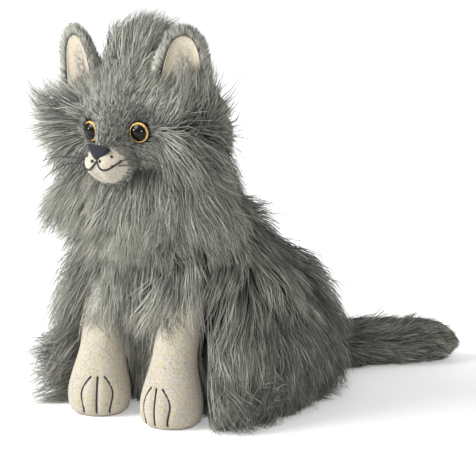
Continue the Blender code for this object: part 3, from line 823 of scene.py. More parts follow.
def head_comb(local, seed, jitter):
    """The way the hair is combed at places given from the head's centre."""
    x, y, z = local.T
    out = from_face(local)
    away = (local - np.array((0, -0.072, -0.016))) / 0.05
    behind = smooth(-0.012, 0.018, y)[:, None]
    down = np.stack((x * 9, np.full(len(x), 0.25), np.full(len(x), -1.0)), 1)
    way = away * (1 - behind) + down * behind
    way[:, 2] -= 0.8 * smooth(0.004, -0.030, z) * smooth(0.020, 0.045, out)
    way[:, 1] -= 1.2 * smooth(0.020, 0.045, np.abs(x)) * smooth(0.022, -0.005, y)
    far = smooth(0.012, 0.040, out)[:, None]
    way += (0.30 * drift(local, 0.03, seed) + 0.20 * drift(local, 0.012, seed + 1)) * far
    way += jitter * np.random.default_rng(seed + 2).normal(size=way.shape)
    return way @ np.array(HEAD_LEAN).T


def head_hair(surface, count, seed):
    roots, normals = scatter(surface, count, seed)
    keep = (from_face(from_head(roots)) > 0.014) & (from_eye(from_head(roots)) > 0.0125)
    on_neck = np.linalg.norm(roots[:, :2] - np.array(NECK)[:2], axis=1) < 0.036
    keep &= ~(on_neck & (roots[:, 2] < NECK.z + 0.02))
    roots, normals = roots[keep], normals[keep]
    rng = np.random.default_rng(seed + 1)
    count = len(roots)
    local = from_head(roots)
    x, y, z = local.T
    out = from_face(local)
    cheek = smooth(0.026, 0.004, z) * smooth(0.022, 0.046, out) * smooth(0.014, -0.018, y)
    temple = smooth(0.004, 0.022, z) * smooth(-0.034, -0.016, y) * smooth(0.02, 0.04, np.abs(x))
    crown = smooth(0.030, 0.044, z) * smooth(0.030, 0.012, np.abs(x)) * smooth(0.010, -0.010, y)
    behind = smooth(-0.010, 0.015, y) * smooth(-0.01, 0.02, z)
    length = 0.0065 + 0.019 * smooth(0.022, 0.058, out) + 0.034 * cheek + 0.020 * crown
    nape = smooth(-0.015, 0.010, y) * smooth(0.005, -0.020, z)
    length += 0.014 * nape - 0.005 * behind - 0.007 * temple
    length *= rng.uniform(0.58, 1.14, count)
    comb = tangent(head_comb(local, seed + 2, 0.14), normals)
    lift = 0.24 + 0.16 * smooth(0.02, 0.05, out) + 0.42 * cheek + 0.42 * crown - 0.26 * behind
    lift -= 0.26 * temple * (1 - behind)
    lift += 0.07 * rng.normal(size=count) + 0.08 * wave(roots, 0.016, seed + 5)
    droop = 0.22 * cheek + 0.6 * nape + 0.05
    lean = unit(normals + cheek[:, None] * np.array((0, -0.35, 0)))
    paths = grow(
        roots, lean, comb, length, np.clip(lift, 0.06, 0.9), droop, 3, seed + 6,
        hold=0.12 + 0.40 * cheek,
    )
    paths, guide = gather(paths, seed + 7)
    paths[:, 1:] = clear_torso(paths[:, 1:], 0.002)
    middle = 0.47 + 0.10 * smooth(-0.01, -0.04, y)
    middle += 0.08 * np.exp(-((x / 0.011) ** 2)) * smooth(0.0, -0.02, y)
    width = sized(0.00028 + 0.00015 * smooth(0.02, 0.05, out), rng, count)
    return paths, width, tones(roots, guide, middle, seed + 8)


for place, (side, node, count) in enumerate((
    ("left", "head_skin_left", 11500), ("right", "head_skin_right", 11500),
    ("crown", "head_gusset", 9500),
)):
    surface = backing(f"head_cloth_{side}", node, lambda _: HEAD_CENTRE, "head")
    hair = head_hair(surface, count, 210 + 20 * place)
    hair_piece(f"head_hair_{side}", *hair, LONG_HAIR, "head", 205 + place)

# %% [markdown]
# ## The mane
# Below the jaw the mane hangs from a band of cloth round the neck, which turns with the head.


# %% The band and its hair
def mane_band():
    """A skirt of cloth round the neck, wider at its lower edge."""
    bm = bmesh.new()
    bmesh.ops.create_cone(
        bm, cap_ends=False, segments=40, radius1=0.056, radius2=0.042, depth=0.032
    )
    bmesh.ops.scale(bm, vec=(1, 0.86, 1), verts=bm.verts)
    bmesh.ops.translate(bm, vec=NECK + Vector((0, -0.008, 0.004)), verts=bm.verts)
    bmesh.ops.subdivide_edges(bm, edges=bm.edges, cuts=2, use_grid_fill=True)
    bm.normal_update()
    return bm


def mane_hair(surface, count, seed):
    roots, normals = scatter(surface, count, seed)
    rng = np.random.default_rng(seed + 1)
    x, y = roots[:, 0], roots[:, 1]
    away = roots - np.array(NECK)
    away[:, 2] = 0
    front = smooth(-0.03, -0.07, y)
    way = unit(away) * 0.9 + np.array((0, -0.05, -1.0))
    comb = combed(way, roots, normals, rng, seed + 2, (0.34, 0.035), (0.20, 0.014))
    side = smooth(0.018, 0.045, np.abs(x)) * smooth(-0.020, -0.045, y)
    rear = smooth(-0.060, -0.025, y)
    length = (0.043 + 0.020 * side) * (1 - 0.40 * rear) * rng.uniform(0.60, 1.10, count)
    lift = 0.72 + 0.20 * side - 0.10 * front + 0.10 * wave(roots, 0.02, seed + 5)
    lift -= 0.35 * rear
    lift += 0.09 * rng.normal(size=count)
    droop = 0.40 + 0.3 * rng.random(count) - 0.25 * side
    lean = unit(normals + side[:, None] * np.array((0, -0.60, -0.15)))
    paths = grow(
        roots, lean, comb, length, np.clip(lift, 0.1, 1.0), droop, 3, seed + 6,
        hold=0.12 + 0.30 * side,
    )
    paths, guide = gather(paths, seed + 7)
    paths[:, 1:] = clear_torso(paths[:, 1:], 0.006)
    middle = 0.46 + 0.13 * front + 0.08 * wave(roots, 0.020, seed + 9)
    return paths, sized(LONG_WIDTH, rng, count), tones(roots, guide, middle, seed + 8)


band = mane_band()
surface = band.copy()
bmesh.ops.solidify(band, geom=band.faces[:], thickness=0.0012)
new_piece("mane_band", band, BACKING, "head")
hair_piece("mane_hair", *mane_hair(surface, 11500, 310), LONG_HAIR, "head", 305)

# %% [markdown]
# ## The tail
# The tail's pile runs along it to the tip, and its underside lies flat on the floor.


# %% Tail hair
def tail_point(share):
    return TAIL_ROOT + Vector((
        0.088 * share**1.5,
        0.126 * (1.12 * share - 0.12 * share**3),
        -0.0062 * min(share * 2.5, 1),
    ))


TAIL_LINE = np.array([tail_point(k / 60) for k in range(61)])


def nearest_on_tail(points):
    """The tail's middle point nearest to each point, its share of the length and the way on."""
    gaps = np.linalg.norm(points[:, None] - TAIL_LINE[None], axis=2)
    index = gaps.argmin(1)
    way = unit(np.gradient(TAIL_LINE, axis=0))
    return TAIL_LINE[index], index / 60, way[index]


def tail_core(place):
    middle, _, _ = nearest_on_tail(np.array([place[:]]))
    return Vector(middle[0])


def tail_hair(surface, count, seed):
    roots, normals = scatter(surface, count, seed)
    rng = np.random.default_rng(seed + 1)
    _, share, onward = nearest_on_tail(roots)
    comb = combed(onward, roots, normals, rng, seed + 2, (0.26, 0.03), (0.18, 0.012), 0.14)
    length = (0.034 - 0.023 * smooth(0.50, 1.0, share)) * rng.uniform(0.6, 1.15, count)
    lift = 0.30 + 0.12 * wave(roots, 0.02, seed + 5) + 0.09 * rng.normal(size=count)
    paths = grow(
        roots, normals, comb, length, np.clip(lift, 0.05, 0.7), np.full(count, 0.15), 3, seed + 6
    )
    paths, guide = gather(paths, seed + 7)
    paths = lay_on_floor(paths)
    return paths, sized(0.00044, rng, count), tones(roots, guide, 0.34, seed + 8)


surface = backing("tail_cloth", "tail_skin", tail_core, "tail")
hair_piece("tail_hair", *tail_hair(surface, 9800, 410), LONG_HAIR, "tail", 405)

# %% [markdown]
# ## The nose bridge
# A narrow bridge of short clipped plush runs from the nose up between the eyes.


# %% Nose bridge
def ellipsoid(radii, centre, segments=32, reshape=None):
    bm = bmesh.new()
    bmesh.ops.create_uvsphere(bm, u_segments=segments, v_segments=segments // 2, radius=1)
    bmesh.ops.scale(bm, vec=radii, verts=bm.verts)
    if reshape:
        for vert in bm.verts:
            vert.co = reshape(vert.co)
    bmesh.ops.translate(bm, vec=centre, verts=bm.verts)
    return bm


def head_space(bm):
    """Moves a bmesh made about the head's centre to its place in the frame."""
    for vert in bm.verts:
        vert.co = on_head(vert.co)
    bm.normal_update()
    return bm


def plush(name, surface, count, seed, keep, comb_of, length_of, lift, width, middle):
    """Short clipped plush over part of a surface, riding the head."""
    roots, normals = scatter(surface, count, seed)
    wanted = keep(from_head(roots))
    roots, normals = roots[wanted], normals[wanted]
    local = from_head(roots)
    rng = np.random.default_rng(seed + 1)
    comb = tangent(comb_of(local), normals)
    length = length_of(local) * rng.uniform(0.7, 1.2, len(roots))
    upright = np.clip(lift + 0.10 * rng.normal(size=len(roots)), 0.08, 0.9)
    paths = grow(
        roots, normals, comb, length, upright, np.zeros(len(roots)), 2, seed + 2, 0.22, 0.0004
    )
    paths, guide = cling(paths, 8, 0.5, seed + 3)
    tone = tones(roots, guide, middle(local), seed + 4)
    reach = width * rng.uniform(0.7, 1.3, len(roots))
    hair_piece(name, paths, reach, tone, SHORT_HAIR, "head", seed + 5)


def face_keep(local):
    """Which places of the face have clipped hair: none by the eyes or under the muzzle."""
    in_muzzle = (local - np.array(MUZZLE_AT)) / (np.array(MUZZLE_RADII) * 0.96)
    keep = (from_face(local) < 0.050) & (local[:, 1] < 0.0)
    return keep & (from_eye(local) > 0.0086) & (np.linalg.norm(in_muzzle, axis=1) >= 1)


def face_length(local):
    near = smooth(0.020, 0.0085, from_eye(local))
    return (0.0052 + 0.0085 * smooth(0.018, 0.046, from_face(local))) * (1 - 0.42 * near)


def face_middle(local):
    blaze = np.exp(-((local[:, 0] / 0.011) ** 2)) * smooth(0.004, 0.020, local[:, 2])
    # Close round each eye the locks are darker: partly the dark hair that rings the eyes, partly
    # painted shade in the eye's hollow.
    return 0.50 + 0.10 * blaze - 0.40 * smooth(0.0125, 0.0085, from_eye(local))


bridge = head_space(ellipsoid((0.0114, 0.0196, 0.0250), (0, -0.040, -0.010)))
surface = bridge.copy()
new_piece("bridge_cloth", bridge, BACKING, "head", ["snout_cover"])
plush(
    "bridge_hair", surface, 11000, 510,
    lambda p: (p[:, 1] < -0.040) & face_keep(p),
    lambda p: np.stack((p[:, 0] * 40, np.full(len(p), 0.5), np.full(len(p), 1.0)), 1),
    lambda p: np.full(len(p), 0.0036), 0.30, 0.00028, face_middle,
)
surface = head_space(ellipsoid(tuple(r - 0.0006 for r in HEAD_RADII), (0, 0, 0), 48))
plush(
    "face_hair", surface, 46000, 540, face_keep, lambda p: head_comb(p, 550, 0.12),
    face_length, 0.28, 0.00030, face_middle,
)

# %% [markdown]
# ## The muzzle and the nose
# The muzzle is a small stuffed pad of speckled velour, with a dip down its middle where the
# stitched line pulls it in. The nose is a rounded triangle of dark flocked cloth.


# %% Muzzle
def muzzle_form(co):
    """Two soft cheeks with a dip between them, over a narrower chin that sits further back."""
    x, y, z = co
    chin = float(smooth(0.001, -0.011, z))
    if y < 0:
        y += 0.0018 * math.exp(-((x / 0.0032) ** 2)) * (1 if z < 0.006 else 0.3)
        y -= 0.0010 * math.exp(-(((abs(x) - 0.0085) / 0.005) ** 2) - ((z / 0.006) ** 2))
        y += 0.0030 * chin
    return Vector((x * (1 - 0.10 * chin), y, z))


def muzzle_front(x, z, lift=0.0):
    """A point over the muzzle's front, from the head's centre. x and z from its own centre."""
    a, b, c = (radius + lift for radius in MUZZLE_RADII)
    y = -b * math.sqrt(max(1 - (x / a) ** 2 - (z / c) ** 2, 0))
    return Vector(MUZZLE_AT) + muzzle_form((x, y, z))


muzzle = head_space(ellipsoid(MUZZLE_RADII, MUZZLE_AT, 64, muzzle_form))
surface = muzzle.copy()
muzzle_pad = new_piece("muzzle_pad", muzzle, FACE_VELOUR, "head", ["muzzle_cover"])
plush(
    "muzzle_edge_hair", surface, 6000, 570,
    lambda p: p[:, 1] > MUZZLE_AT[1] - 0.0045 - 0.004 * smooth(0, 0.012, p[:, 2] - MUZZLE_AT[2]),
    lambda p: (p - np.array((0, -0.075, MUZZLE_AT[2]))) * 30 + np.array((0, 0, -0.3)),
    lambda p: 0.0042 + 0.0040 * smooth(-0.050, -0.040, p[:, 1]), 0.42, 0.00028,
    lambda p: np.full(len(p), 0.50),
)


# %% [markdown]
# ### The nose
# A rounded triangle is drawn flat, pushed out and inset, then softened by a modifier.


# %% Nose
def nose_form():
    outline = (
        (-0.0118, 0.0040), (-0.0060, 0.0056), (0.0060, 0.0056), (0.0118, 0.0040),
        (0.0016, -0.0056), (-0.0016, -0.0056),
    )
    bm = bmesh.new()
    bmesh.ops.create_circle(bm, cap_ends=True, segments=len(outline), radius=1)
    for vert, (x, z) in zip(bm.verts, outline):
        vert.co = (x, 0, z)
    bm.normal_update()
    flat = bm.faces[:]
    if flat[0].normal.y > 0:
        bmesh.ops.reverse_faces(bm, faces=flat)
    grown = bmesh.ops.extrude_face_region(bm, geom=flat)["geom"]
    front = [item for item in grown if isinstance(item, bmesh.types.BMFace)]
    moved = [item for item in grown if isinstance(item, bmesh.types.BMVert)]
    bmesh.ops.translate(bm, vec=(0, -0.0055, 0), verts=moved)
    bmesh.ops.inset_region(bm, faces=front, thickness=0.0014, depth=0.0012)
    bmesh.ops.holes_fill(bm, edges=bm.edges, sides=0)
    bmesh.ops.recalc_face_normals(bm, faces=bm.faces)
    lean = Matrix.Rotation(math.radians(9), 3, "Y")
    bmesh.ops.rotate(bm, cent=(0, 0, 0), matrix=lean, verts=bm.verts)
    bmesh.ops.translate(bm, vec=(0, -0.0600, -0.0180), verts=bm.verts)
    for vert in bm.verts:
        vert.co.y += 24.0 * vert.co.x**2
    return head_space(bm)


nose = new_piece("nose_pad", nose_form(), NOSE_FLOCK, "head", ["nose"])
soften = nose.modifiers.new("soften", "SUBSURF")
soften.levels = soften.render_levels = 3
print("nose:", len(nose.data.polygons), "faces before softening")

# %% [markdown]
# ## Stitches and whiskers
# The mouth and the dots are sewn through the velour with black thread. Each line is a curve with
# a round section. The whiskers are stiff bristles, thinner towards their tips.


# %% Threads
def thread_piece(name, places, radius, material, body, replaced, taper=None):
    curve = bpy.data.curves.new(name, "CURVE")
    curve.dimensions = "3D"
    curve.bevel_depth = radius
    curve.bevel_resolution = 3
    curve.use_fill_caps = True
    spline = curve.splines.new("POLY")
    spline.points.add(len(places) - 1)
    for k, (point, place) in enumerate(zip(spline.points, places)):
        point.co = (*place, 1)
        point.radius = taper(k / (len(places) - 1)) if taper else 1
    drawn = bpy.data.objects.new(name + "_line", curve)
    scene.collection.objects.link(drawn)
    bpy.context.view_layer.update()
    evaluated = drawn.evaluated_get(bpy.context.evaluated_depsgraph_get())
    bm = bmesh.new()
    bm.from_mesh(bpy.data.meshes.new_from_object(evaluated))
    bmesh.ops.remove_doubles(bm, verts=bm.verts, dist=0.000001)
    bmesh.ops.recalc_face_normals(bm, faces=bm.faces)
    bpy.data.objects.remove(drawn)
    new_piece(name, bm, material, body, replaced)


def shares(steps):
    return [k / steps for k in range(steps + 1)]


def mouth_place(sign, t):
    """The mouth's line, from under the nose, down and up to its corner."""
    level = 0.0036 - 0.0225 * t * (1 - t) * (1.35 - 0.7 * t)
    return on_head(muzzle_front(sign * (0.0006 + 0.0164 * t), level, 0.0002))


def whisker_place(sign, root, droop, t):
    out = 0.047 * t
    way = Vector((sign * out * 0.90, 0.05 * out, 0.16 * out - droop * t * t))
    return on_head(root + way)


DOTS = ((0.0036, 0.0042), (0.0112, 0.0072), (0.0128, 0.0004))
WHISKERS = ((0.0040, 0.010), (0.0005, 0.021))
MOUTH_THREAD = 0.00075
print("dots and whiskers to a side:", len(DOTS), len(WHISKERS))

# %% [markdown]
# ### On both sides of the face
# The mouth's two halves meet in a short line under the nose.

# %% Mouth, dots and whiskers
for side, sign in SIDES:
    line = [mouth_place(sign, t) for t in shares(32)]
    thread_piece(
        f"mouth_line_{side}", line, MOUTH_THREAD, THREAD, "head", [f"mouth_stitch_{side}"]
    )
    for number, (x, z) in enumerate(DOTS, start=1):
        dot = ellipsoid((0.0012, 0.0010, 0.0012), muzzle_front(sign * x, z, 0.0001), 12)
        new_piece(
            f"dot_{side}_{number}", head_space(dot), THREAD, "head",
            [f"whisker_dot_{side}_{number}"],
        )
    for number, (height, droop) in enumerate(WHISKERS, start=1):
        root = muzzle_front(sign * 0.0160, height)
        line = [whisker_place(sign, root, droop, t) for t in shares(24)]
        thread_piece(
            f"bristle_{side}_{number}", line, 0.00050, WHISKER, "head",
            [f"whisker_{side}_{number}"], lambda t: 1 - 0.55 * t,
        )
line = [on_head(muzzle_front(0, 0.0092 - 0.0064 * t, 0.0001)) for t in shares(8)]
thread_piece("mouth_line_middle", line, MOUTH_THREAD, THREAD, "head", [])
print("mouth, dots and whiskers are on")

# %% [markdown]
# ## The eyes
# Each eye is a glossy dome over a painted disc: a wide black pupil, an amber ring and a thin
# dark edge. The dome is turned on its own axis, and the paint follows the distance from that
# axis, which the piece carries as a map.


# %% Eye finish and dome
EYE_PAINT, tree, shader = new_material(
    "eye_under_dome", (0.7, 0.4, 0.06), 0.05, Specular_IOR_Level=0.24
)
from_axis, _ = map_axes(tree, "eye_rings")
rays = noise_value(tree, object_coords(tree), 900, 3)
ring_colour = ramp(tree, rays, ((0.35, (0.42, 0.22, 0.04)), (0.65, (0.86, 0.62, 0.26))))
is_ring = ramp(tree, from_axis, (
    (0.0, (0, 0, 0)), (0.74, (0, 0, 0)), (0.78, (1, 1, 1)), (0.86, (1, 1, 1)), (0.92, (0, 0, 0)),
))
eye_colour = mix_colours(tree, is_ring, (0.004, 0.003, 0.002), ring_colour)
tree.links.new(eye_colour, shader.inputs["Base Color"])


def eye_frame(sign):
    """The eye's place and outward direction, in the frame."""
    a, b, c = HEAD_RADII
    x, z = sign * EYE_AT[0], EYE_AT[2]
    y = -b * math.sqrt(1 - (x / a) ** 2 - (z / c) ** 2)
    out = Vector((x / a**2, y / b**2, z / c**2)).normalized() + Vector((0, -0.5, 0))
    return on_head((x, y, z)), (HEAD_LEAN @ out).normalized()


def eye_dome(side, sign):
    """Spins half a dome's outline about the eye's axis."""
    radius, height, rim = 0.0084, 0.0054, -0.0030
    sphere = (radius**2 + height**2) / (2 * height)
    widest = math.asin(radius / sphere)
    bm = bmesh.new()
    outline = [
        bm.verts.new((sphere * math.sin(a), 0, rim + height - sphere * (1 - math.cos(a))))
        for a in (widest * k / 12 for k in range(13))
    ]
    outline.append(bm.verts.new((radius * 0.97, 0, rim - 0.0012)))
    outline.append(bm.verts.new((0, 0, rim - 0.0012)))
    edges = [bm.edges.new(pair) for pair in zip(outline, outline[1:])]
    bmesh.ops.spin(
        bm, geom=outline + edges, cent=(0, 0, 0), axis=(0, 0, 1), angle=2 * math.pi,
        steps=40, use_merge=True,
    )
    bmesh.ops.remove_doubles(bm, verts=bm.verts, dist=0.00001)
    bmesh.ops.recalc_face_normals(bm, faces=bm.faces)
    layer = bm.loops.layers.uv.new("eye_rings")
    for face in bm.faces:
        for loop in face.loops:
            x, y, _ = loop.vert.co
            loop[layer].uv = (math.hypot(x, y) / radius, math.atan2(y, x) / 6.3 + 0.5)
    place, out = eye_frame(sign)
    turn = out.to_track_quat("Z", "Y").to_matrix().to_4x4()
    bmesh.ops.transform(bm, matrix=Matrix.Translation(place) @ turn, verts=bm.verts)
    new_piece(f"eye_dome_{side}", bm, EYE_PAINT, "head", [f"eye_lens_{side}"])


for side, sign in SIDES:
    eye_dome(side, sign)
    nodes[f"eye_shank_{side}"].material_slots[0].material = BLACK_PLASTIC
    nodes[f"eye_washer_{side}"].material_slots[0].material = WASHER_PLASTIC
print("eyes face", [round(v, 2) for v in eye_frame(1)[1]])

# %% [markdown]
# ## The ears
# An ear is a shallow cup: grey plush behind and round its rim, and a pale velour lining set
# inside with a dark brushed stroke up its middle.


# %% Ear shapes
EAR_AT = (0.046, -0.022, 0.020)
EAR_RADII = (0.0213, 0.0118, 0.0470)
EAR_RIM = 0.0044


def ear_matrix(sign):
    turn = Matrix.Rotation(sign * math.radians(16), 4, "Z")
    turn = turn @ Matrix.Rotation(sign * math.radians(8), 4, "Y")
    return Matrix.Translation((sign * EAR_AT[0], EAR_AT[1], EAR_AT[2])) @ turn


def ear_place(sign, place):
    return on_head(ear_matrix(sign) @ place)


def ear_breadth(rise):
    """How much narrower or wider than an egg the ear is at a share of its height."""
    rise = np.clip(rise, 0, 1)
    return 1 - 0.26 * rise + 0.42 * rise**2


def ear_sheet(radii, sign, thickness):
    """A curved sheet: the back half of a tapered egg, cut off below."""
    bm = bmesh.new()
    bmesh.ops.create_uvsphere(bm, u_segments=40, v_segments=20, radius=1)
    unwanted = [v for v in bm.verts if v.co.y < -0.0001 or v.co.z < -0.26]
    bmesh.ops.delete(bm, geom=unwanted, context="VERTS")
    bmesh.ops.scale(bm, vec=radii, verts=bm.verts)
    for vert in bm.verts:
        vert.co.x *= ear_breadth(vert.co.z / radii[2])
    bm.normal_update()
    bmesh.ops.solidify(bm, geom=bm.faces[:], thickness=thickness)
    for vert in bm.verts:
        vert.co = ear_place(sign, vert.co)
    bmesh.ops.recalc_face_normals(bm, faces=bm.faces)
    return bm


print("ear:", [round(2000 * radius, 1) for radius in EAR_RADII], "mm")

# %% [markdown]
# ### The ears' lining
# The brushed stroke is a dark colour over the printed velour, where a map of the lining says.

# %% Ear lining
EAR_LINING, tree, shader = new_material("ear_lining_velour", (0.66, 0.60, 0.50), 0.88)
printed = speckled(tree, (0.54, 0.50, 0.42), (0.50, 0.39, 0.22), (0.32, 0.32, 0.33))
across, up = map_axes(tree, "ear_map")
across = ramp(tree, across, (
    (0.0, (0, 0, 0)), (0.22, (0, 0, 0)), (0.42, (1, 1, 1)), (0.56, (1, 1, 1)), (0.74, (0, 0, 0)),
))
up = ramp(tree, up, ((0.0, (1, 1, 1)), (0.62, (0.9, 0.9, 0.9)), (0.86, (0, 0, 0))))
streaks = noise_value(tree, object_coords(tree), 300, 4)
streaks = ramp(tree, streaks, ((0.38, (0.25,) * 3), (0.56, (1.0,) * 3)))
brushed = mix_colours(tree, 1.0, across, up, "MULTIPLY")
brushed = mix_colours(tree, 1.0, brushed, streaks, "MULTIPLY")
colour = mix_colours(tree, brushed, printed, (0.13, 0.12, 0.11))
tree.links.new(colour, shader.inputs["Base Color"])
add_nap(tree, shader, 1400, 0.0006)


print("ear lining:", EAR_LINING.name)

# %% [markdown]
# ### Making the ears
# The plush grows on the back and over the rim. The lining sits inside the rim.


# %% Ears
def ear_hair(side, sign, surface, seed):
    """Plush on the back and over the rim, none where the lining sits."""
    roots, normals = scatter(surface, 15000, seed)
    inverse = np.array(ear_matrix(sign).inverted())
    local = from_head(roots) @ inverse[:3, :3].T + inverse[:3, 3]
    facing = (normals @ np.array(HEAD_LEAN.inverted()).T) @ inverse[:3, :3].T
    x, _, z = local.T
    half = EAR_RADII[0] * ear_breadth(z / EAR_RADII[2])
    around = np.hypot(x / half, z / EAR_RADII[2])
    wanted = ((facing[:, 1] > 0.1) | (around > 0.83)) & (z > -0.010)
    roots, local, facing = (values[wanted][:9000] for values in (roots, local, facing))
    rng = np.random.default_rng(seed + 1)
    count = len(roots)
    outward = unit(np.stack((local[:, 0] * 1.6, np.zeros(count), local[:, 2] + 0.004), 1))
    rim = (facing[:, 1] < 0.1)[:, None]
    way = np.where(rim, outward + (0, -0.25, 0), outward * 0.7 + (0, 0, 0.7))
    up = np.where(rim, outward * 0.8 + (0, -0.5, 0), facing)
    turn = np.array(HEAD_LEAN) @ np.array(ear_matrix(sign))[:3, :3]
    way, up = way @ turn.T + 0.2 * drift(roots, 0.012, seed + 2), unit(up @ turn.T)
    length = 0.0064 * rng.uniform(0.7, 1.2, count)
    lift = np.clip(0.42 + 0.1 * rng.normal(size=count), 0.1, 0.9)
    paths = grow(roots, up, unit(way), length, lift, np.zeros(count), 2, seed + 3, 0.2, 0.0004)
    paths, guide = cling(paths, 8, 0.4, seed + 4)
    tone = tones(roots, guide, 0.62, seed + 5)
    width = 0.00034 * rng.uniform(0.7, 1.3, count)
    hair_piece(f"ear_hair_{side}", paths, width, tone, SHORT_HAIR, "head", seed + 6)


def ear_lining(side, sign):
    a, b, c = (radius - EAR_RIM for radius in EAR_RADII)
    lining = ear_sheet((a, b * 0.75, c + 0.0012), sign, 0.0012)
    layer = lining.loops.layers.uv.new("ear_map")
    inverse = ear_matrix(sign).inverted()
    for face in lining.faces:
        for loop in face.loops:
            local = inverse @ (HEAD_LEAN.inverted() @ (loop.vert.co - NECK) - HEAD_FROM_NECK)
            loop[layer].uv = (0.5 + local.x / 0.035, (local.z + 0.010) / 0.055)
    new_piece(f"ear_lining_cloth_{side}", lining, EAR_LINING, "head", [f"ear_lining_{side}"])


for place, (side, sign) in enumerate(SIDES):
    shell = ear_sheet(EAR_RADII, sign, 0.0040)
    surface = shell.copy()
    new_piece(f"ear_cloth_{side}", shell, BACKING, "head", [f"ear_back_{side}"])
    ear_hair(side, sign, surface, 610 + 20 * place)
    ear_lining(side, sign)

# %% [markdown]
# ## The forelegs
# A foreleg is a stuffed tube of velour that ends in a round paw. Three stitched lines pull the
# cloth in and part the toes.

# %% Foreleg shape
TOES_TURNED = {"left": 2, "right": 33}
TOE_TOP = 0.031
TOE_FALL = 0.0275


def foreleg_radius(height):
    """The leg narrows to the ankle and is rounded at the sole."""
    sole = min(max(height, 0) / 0.014, 1)
    rounding = 0.74 + 0.26 * math.sqrt(max(1 - (1 - sole) ** 2, 0))
    return rounding * (0.0235 - 0.0070 * float(smooth(0.014, 0.054, height)))


def toe_sideways(place, height):
    """The outer lines start close together, bow out and come in a little at the sole."""
    fall = (TOE_TOP - height) / TOE_FALL
    bow = math.sin(math.pi / 2 * min(fall / 0.5, 1))
    return place * (0.0050 + 0.0074 * bow - 0.0024 * float(smooth(0.5, 1.0, fall)))


def groove_depth(height):
    return 0.0019 * math.exp(-(((height - 0.016) / 0.016) ** 4))


def on_paw(side, sign, height, turn, sunk):
    """A point of the leg's cloth, sunk below it. The toes face a turn of -90 degrees."""
    radius = foreleg_radius(height) - sunk
    turn += math.radians(TOES_TURNED[side])
    x, y = radius * math.cos(turn), radius * math.sin(turn)
    return Vector((sign * FORELEG_X + x, foreleg_middle(max(height, 0)) + y, height))


def tube(levels, segments):
    """A closed tube in rings, one for each level. Gives the bmesh and the rings."""
    bm = bmesh.new()
    bmesh.ops.create_circle(bm, cap_ends=True, segments=segments, radius=1)
    end, rings = bm.faces[:], [list(bm.verts)]
    for _ in levels[1:]:
        grown = bmesh.ops.extrude_face_region(bm, geom=end)["geom"]
        spent = [face for face in end if face.is_valid and len(rings) > 1]
        bmesh.ops.delete(bm, geom=spent, context="FACES")
        end = [item for item in grown if isinstance(item, bmesh.types.BMFace)]
        rings.append([item for item in grown if isinstance(item, bmesh.types.BMVert)])
    return bm, rings


print("paw radius:", round(foreleg_radius(0.014), 4))

# %% [markdown]
# ### Making the forelegs
# Each ring of the tube is laid at its height, and sunk a little along the three toe lines.


# %% Forelegs
def foreleg(side, sign):
    levels = [FORELEG_TOP * t for t in shares(34)]
    bm, rings = tube(levels, 72)
    for ring, height in zip(rings, levels):
        for vert in ring:
            turn = math.atan2(vert.co.y, vert.co.x)
            groove = 0.0
            for place in (-1, 0, 1):
                off = foreleg_radius(height) * math.cos(turn) - toe_sideways(place, height)
                groove += math.exp(-((off / 0.0018) ** 2))
            sunk = groove_depth(height) * groove * max(-math.sin(turn), 0)
            vert.co = on_paw(side, sign, height, turn, sunk)
    bmesh.ops.recalc_face_normals(bm, faces=bm.faces)
    piece = new_piece(f"foreleg_{side}", bm, PAW_VELOUR, "torso", [f"foreleg_skin_{side}"])


def toe_line(side, sign, number, place):
    line = []
    for t in shares(24):
        height = TOE_TOP - TOE_FALL * t
        turn = math.asin(toe_sideways(place, height) / foreleg_radius(height)) - math.pi / 2
        line.append(on_paw(side, sign, height, turn, groove_depth(height) - 0.0002))
    thread_piece(
        f"toe_line_{side}_{number}", line, 0.00080, THREAD, "torso",
        [f"toe_stitch_{side}_{number}"],
    )


for side, sign in SIDES:
    foreleg(side, sign)
    for number, place in enumerate((-1, 0, 1), start=1):
        toe_line(side, sign, number, place)
print("forelegs turned:", TOES_TURNED)

# %% [markdown]
# ## Inside
# The fillings can't be seen, but each is there: a lumpy, slightly slack copy of its solid. The
# seat's cloth dimples a little between its seams.


# %% Fillings, pouch and seat
def dented(node, cuts, size, seed, depth, change):
    """A solid's shape drawn in by depth, more in some places than in others."""
    bm = solid_copy(node, cuts)
    lumps = wave(np.array([vert.co[:] for vert in bm.verts]), size, seed)
    for vert, lump in zip(bm.verts, lumps):
        vert.co -= vert.normal * (depth + change * lump)
    return bm


FILLINGS = (
    ("torso_fill", "torso", FIBRE, 0.6),
    ("haunch_fill_left", "torso", FIBRE, 0.6),
    ("haunch_fill_right", "torso", FIBRE, 0.6),
    ("foreleg_fill_left", "torso", FIBRE, 0.6),
    ("foreleg_fill_right", "torso", FIBRE, 0.6),
    ("head_fill", "head", FIBRE, 0.6),
    ("muzzle_fill", "head", FIBRE, 0.6),
    ("neck_fill", "neck", FIBRE, 0.8),
    ("tail_root_fill", "tail_root", FIBRE, 0.8),
    ("tail_fill", "tail", FIBRE, 0.6),
    ("pellet_pouch", "torso", POUCH_CLOTH, 0.5),
)
for node, body, material, fill in FILLINGS:
    bm = dented(node, 1, 0.02, 900, 0.0008, 0.0006)
    new_piece(f"{node}_fibre", bm, material, body, [node])
bm = dented("seat_panel", 2, 0.018, 930, 0.0002, 0.00015)
new_piece("seat_cloth_panel", bm, SEAT_CLOTH, "torso", ["seat_panel"])
print("fillings:", len(FILLINGS))
print("locks in all:", sum(LOCKS))

# %% [markdown]
# ## Floor, light and camera
# The pale floor glows a little to the camera, more so further out, and so runs into the world.

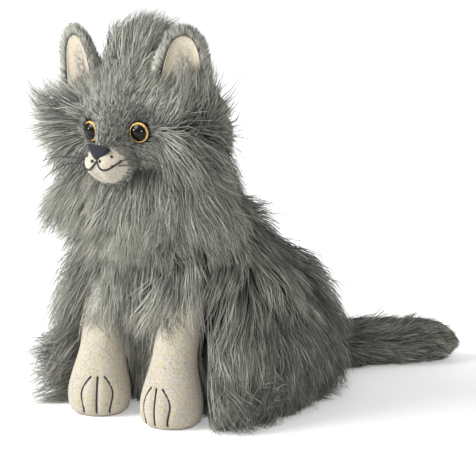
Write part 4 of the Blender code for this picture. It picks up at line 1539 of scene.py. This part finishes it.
# %% Floor
bpy.ops.mesh.primitive_plane_add(size=12, location=(0, 0, 0))
floor = bpy.context.object
floor.name = "floor"
floor_paint, tree, shader = new_material("pale_floor", (0.93, 0.93, 0.93), 0.9)
rays = tree.nodes.new("ShaderNodeLightPath")
away = tree.nodes.new("ShaderNodeVectorMath")
away.operation = "LENGTH"
tree.links.new(object_coords(tree), away.inputs[0])
spread = tree.nodes.new("ShaderNodeMapRange")
for socket, value in (("From Min", 0.12), ("From Max", 1.2), ("To Min", 0.29), ("To Max", 0.50)):
    spread.inputs[socket].default_value = value
tree.links.new(away.outputs["Value"], spread.inputs["Value"])
glow = tree.nodes.new("ShaderNodeMath")
glow.operation = "MULTIPLY"
tree.links.new(rays.outputs["Is Camera Ray"], glow.inputs[0])
tree.links.new(spread.outputs["Result"], glow.inputs[1])
shader.inputs["Emission Color"].default_value = (1, 1, 1, 1)
tree.links.new(glow.outputs[0], shader.inputs["Emission Strength"])
floor.data.materials.append(floor_paint)
print("floor:", floor.name)

# %% [markdown]
# ### World and lamps
# The key lamp stands to the cat's right. Two small ones only put the highlights in its eyes.

# %% World and lamps
world = bpy.data.worlds.new("studio")
scene.world = world
world.use_nodes = True
background = world.node_tree.nodes["Background"]
background.inputs["Color"].default_value = (1, 1, 1, 1)
background.inputs["Strength"].default_value = 0.57


def lamp(name, place, target, size, power):
    data = bpy.data.lights.new(name, "AREA")
    data.shape = "DISK"
    data.size = size
    data.energy = power
    obj = bpy.data.objects.new(name, data)
    obj.location = place
    obj.rotation_euler = (Vector(target) - Vector(place)).to_track_quat("-Z", "Y").to_euler()
    scene.collection.objects.link(obj)


lamp("key", (-0.75, -1.25, 1.25), (0, 0, 0.12), 1.1, 29)
lamp("catch_near", (0.62, -1.0, 0.36), (0, -0.09, 0.20), 0.13, 3.4)
lamp("catch_far", (-0.85, -0.95, 0.40), (0, -0.09, 0.20), 0.17, 5.5)
print("lamps:", len(bpy.data.lights))

# %% [markdown]
# ### Camera
# It looks from the cat's left, a little above its head, through a long lens.

# %% Camera
camera_data = bpy.data.cameras.new("camera")
camera = bpy.data.objects.new("camera", camera_data)
scene.collection.objects.link(camera)
scene.camera = camera
turn, rise, distance = math.radians(36.5), math.radians(10.9), 2.4
target = Vector((0.034, 0, 0.1335))
back = Vector((
    math.sin(turn) * math.cos(rise), -math.cos(turn) * math.cos(rise), math.sin(rise)
))
camera.location = target + back * distance
camera.rotation_euler = (-back).to_track_quat("-Z", "Y").to_euler()
camera_data.lens = 243
camera_data.sensor_width = 36
camera_data.clip_start = 0.05
camera_data.clip_end = 50
scene.view_settings.view_transform = "Standard"
print("camera:", [round(v, 2) for v in camera.location])
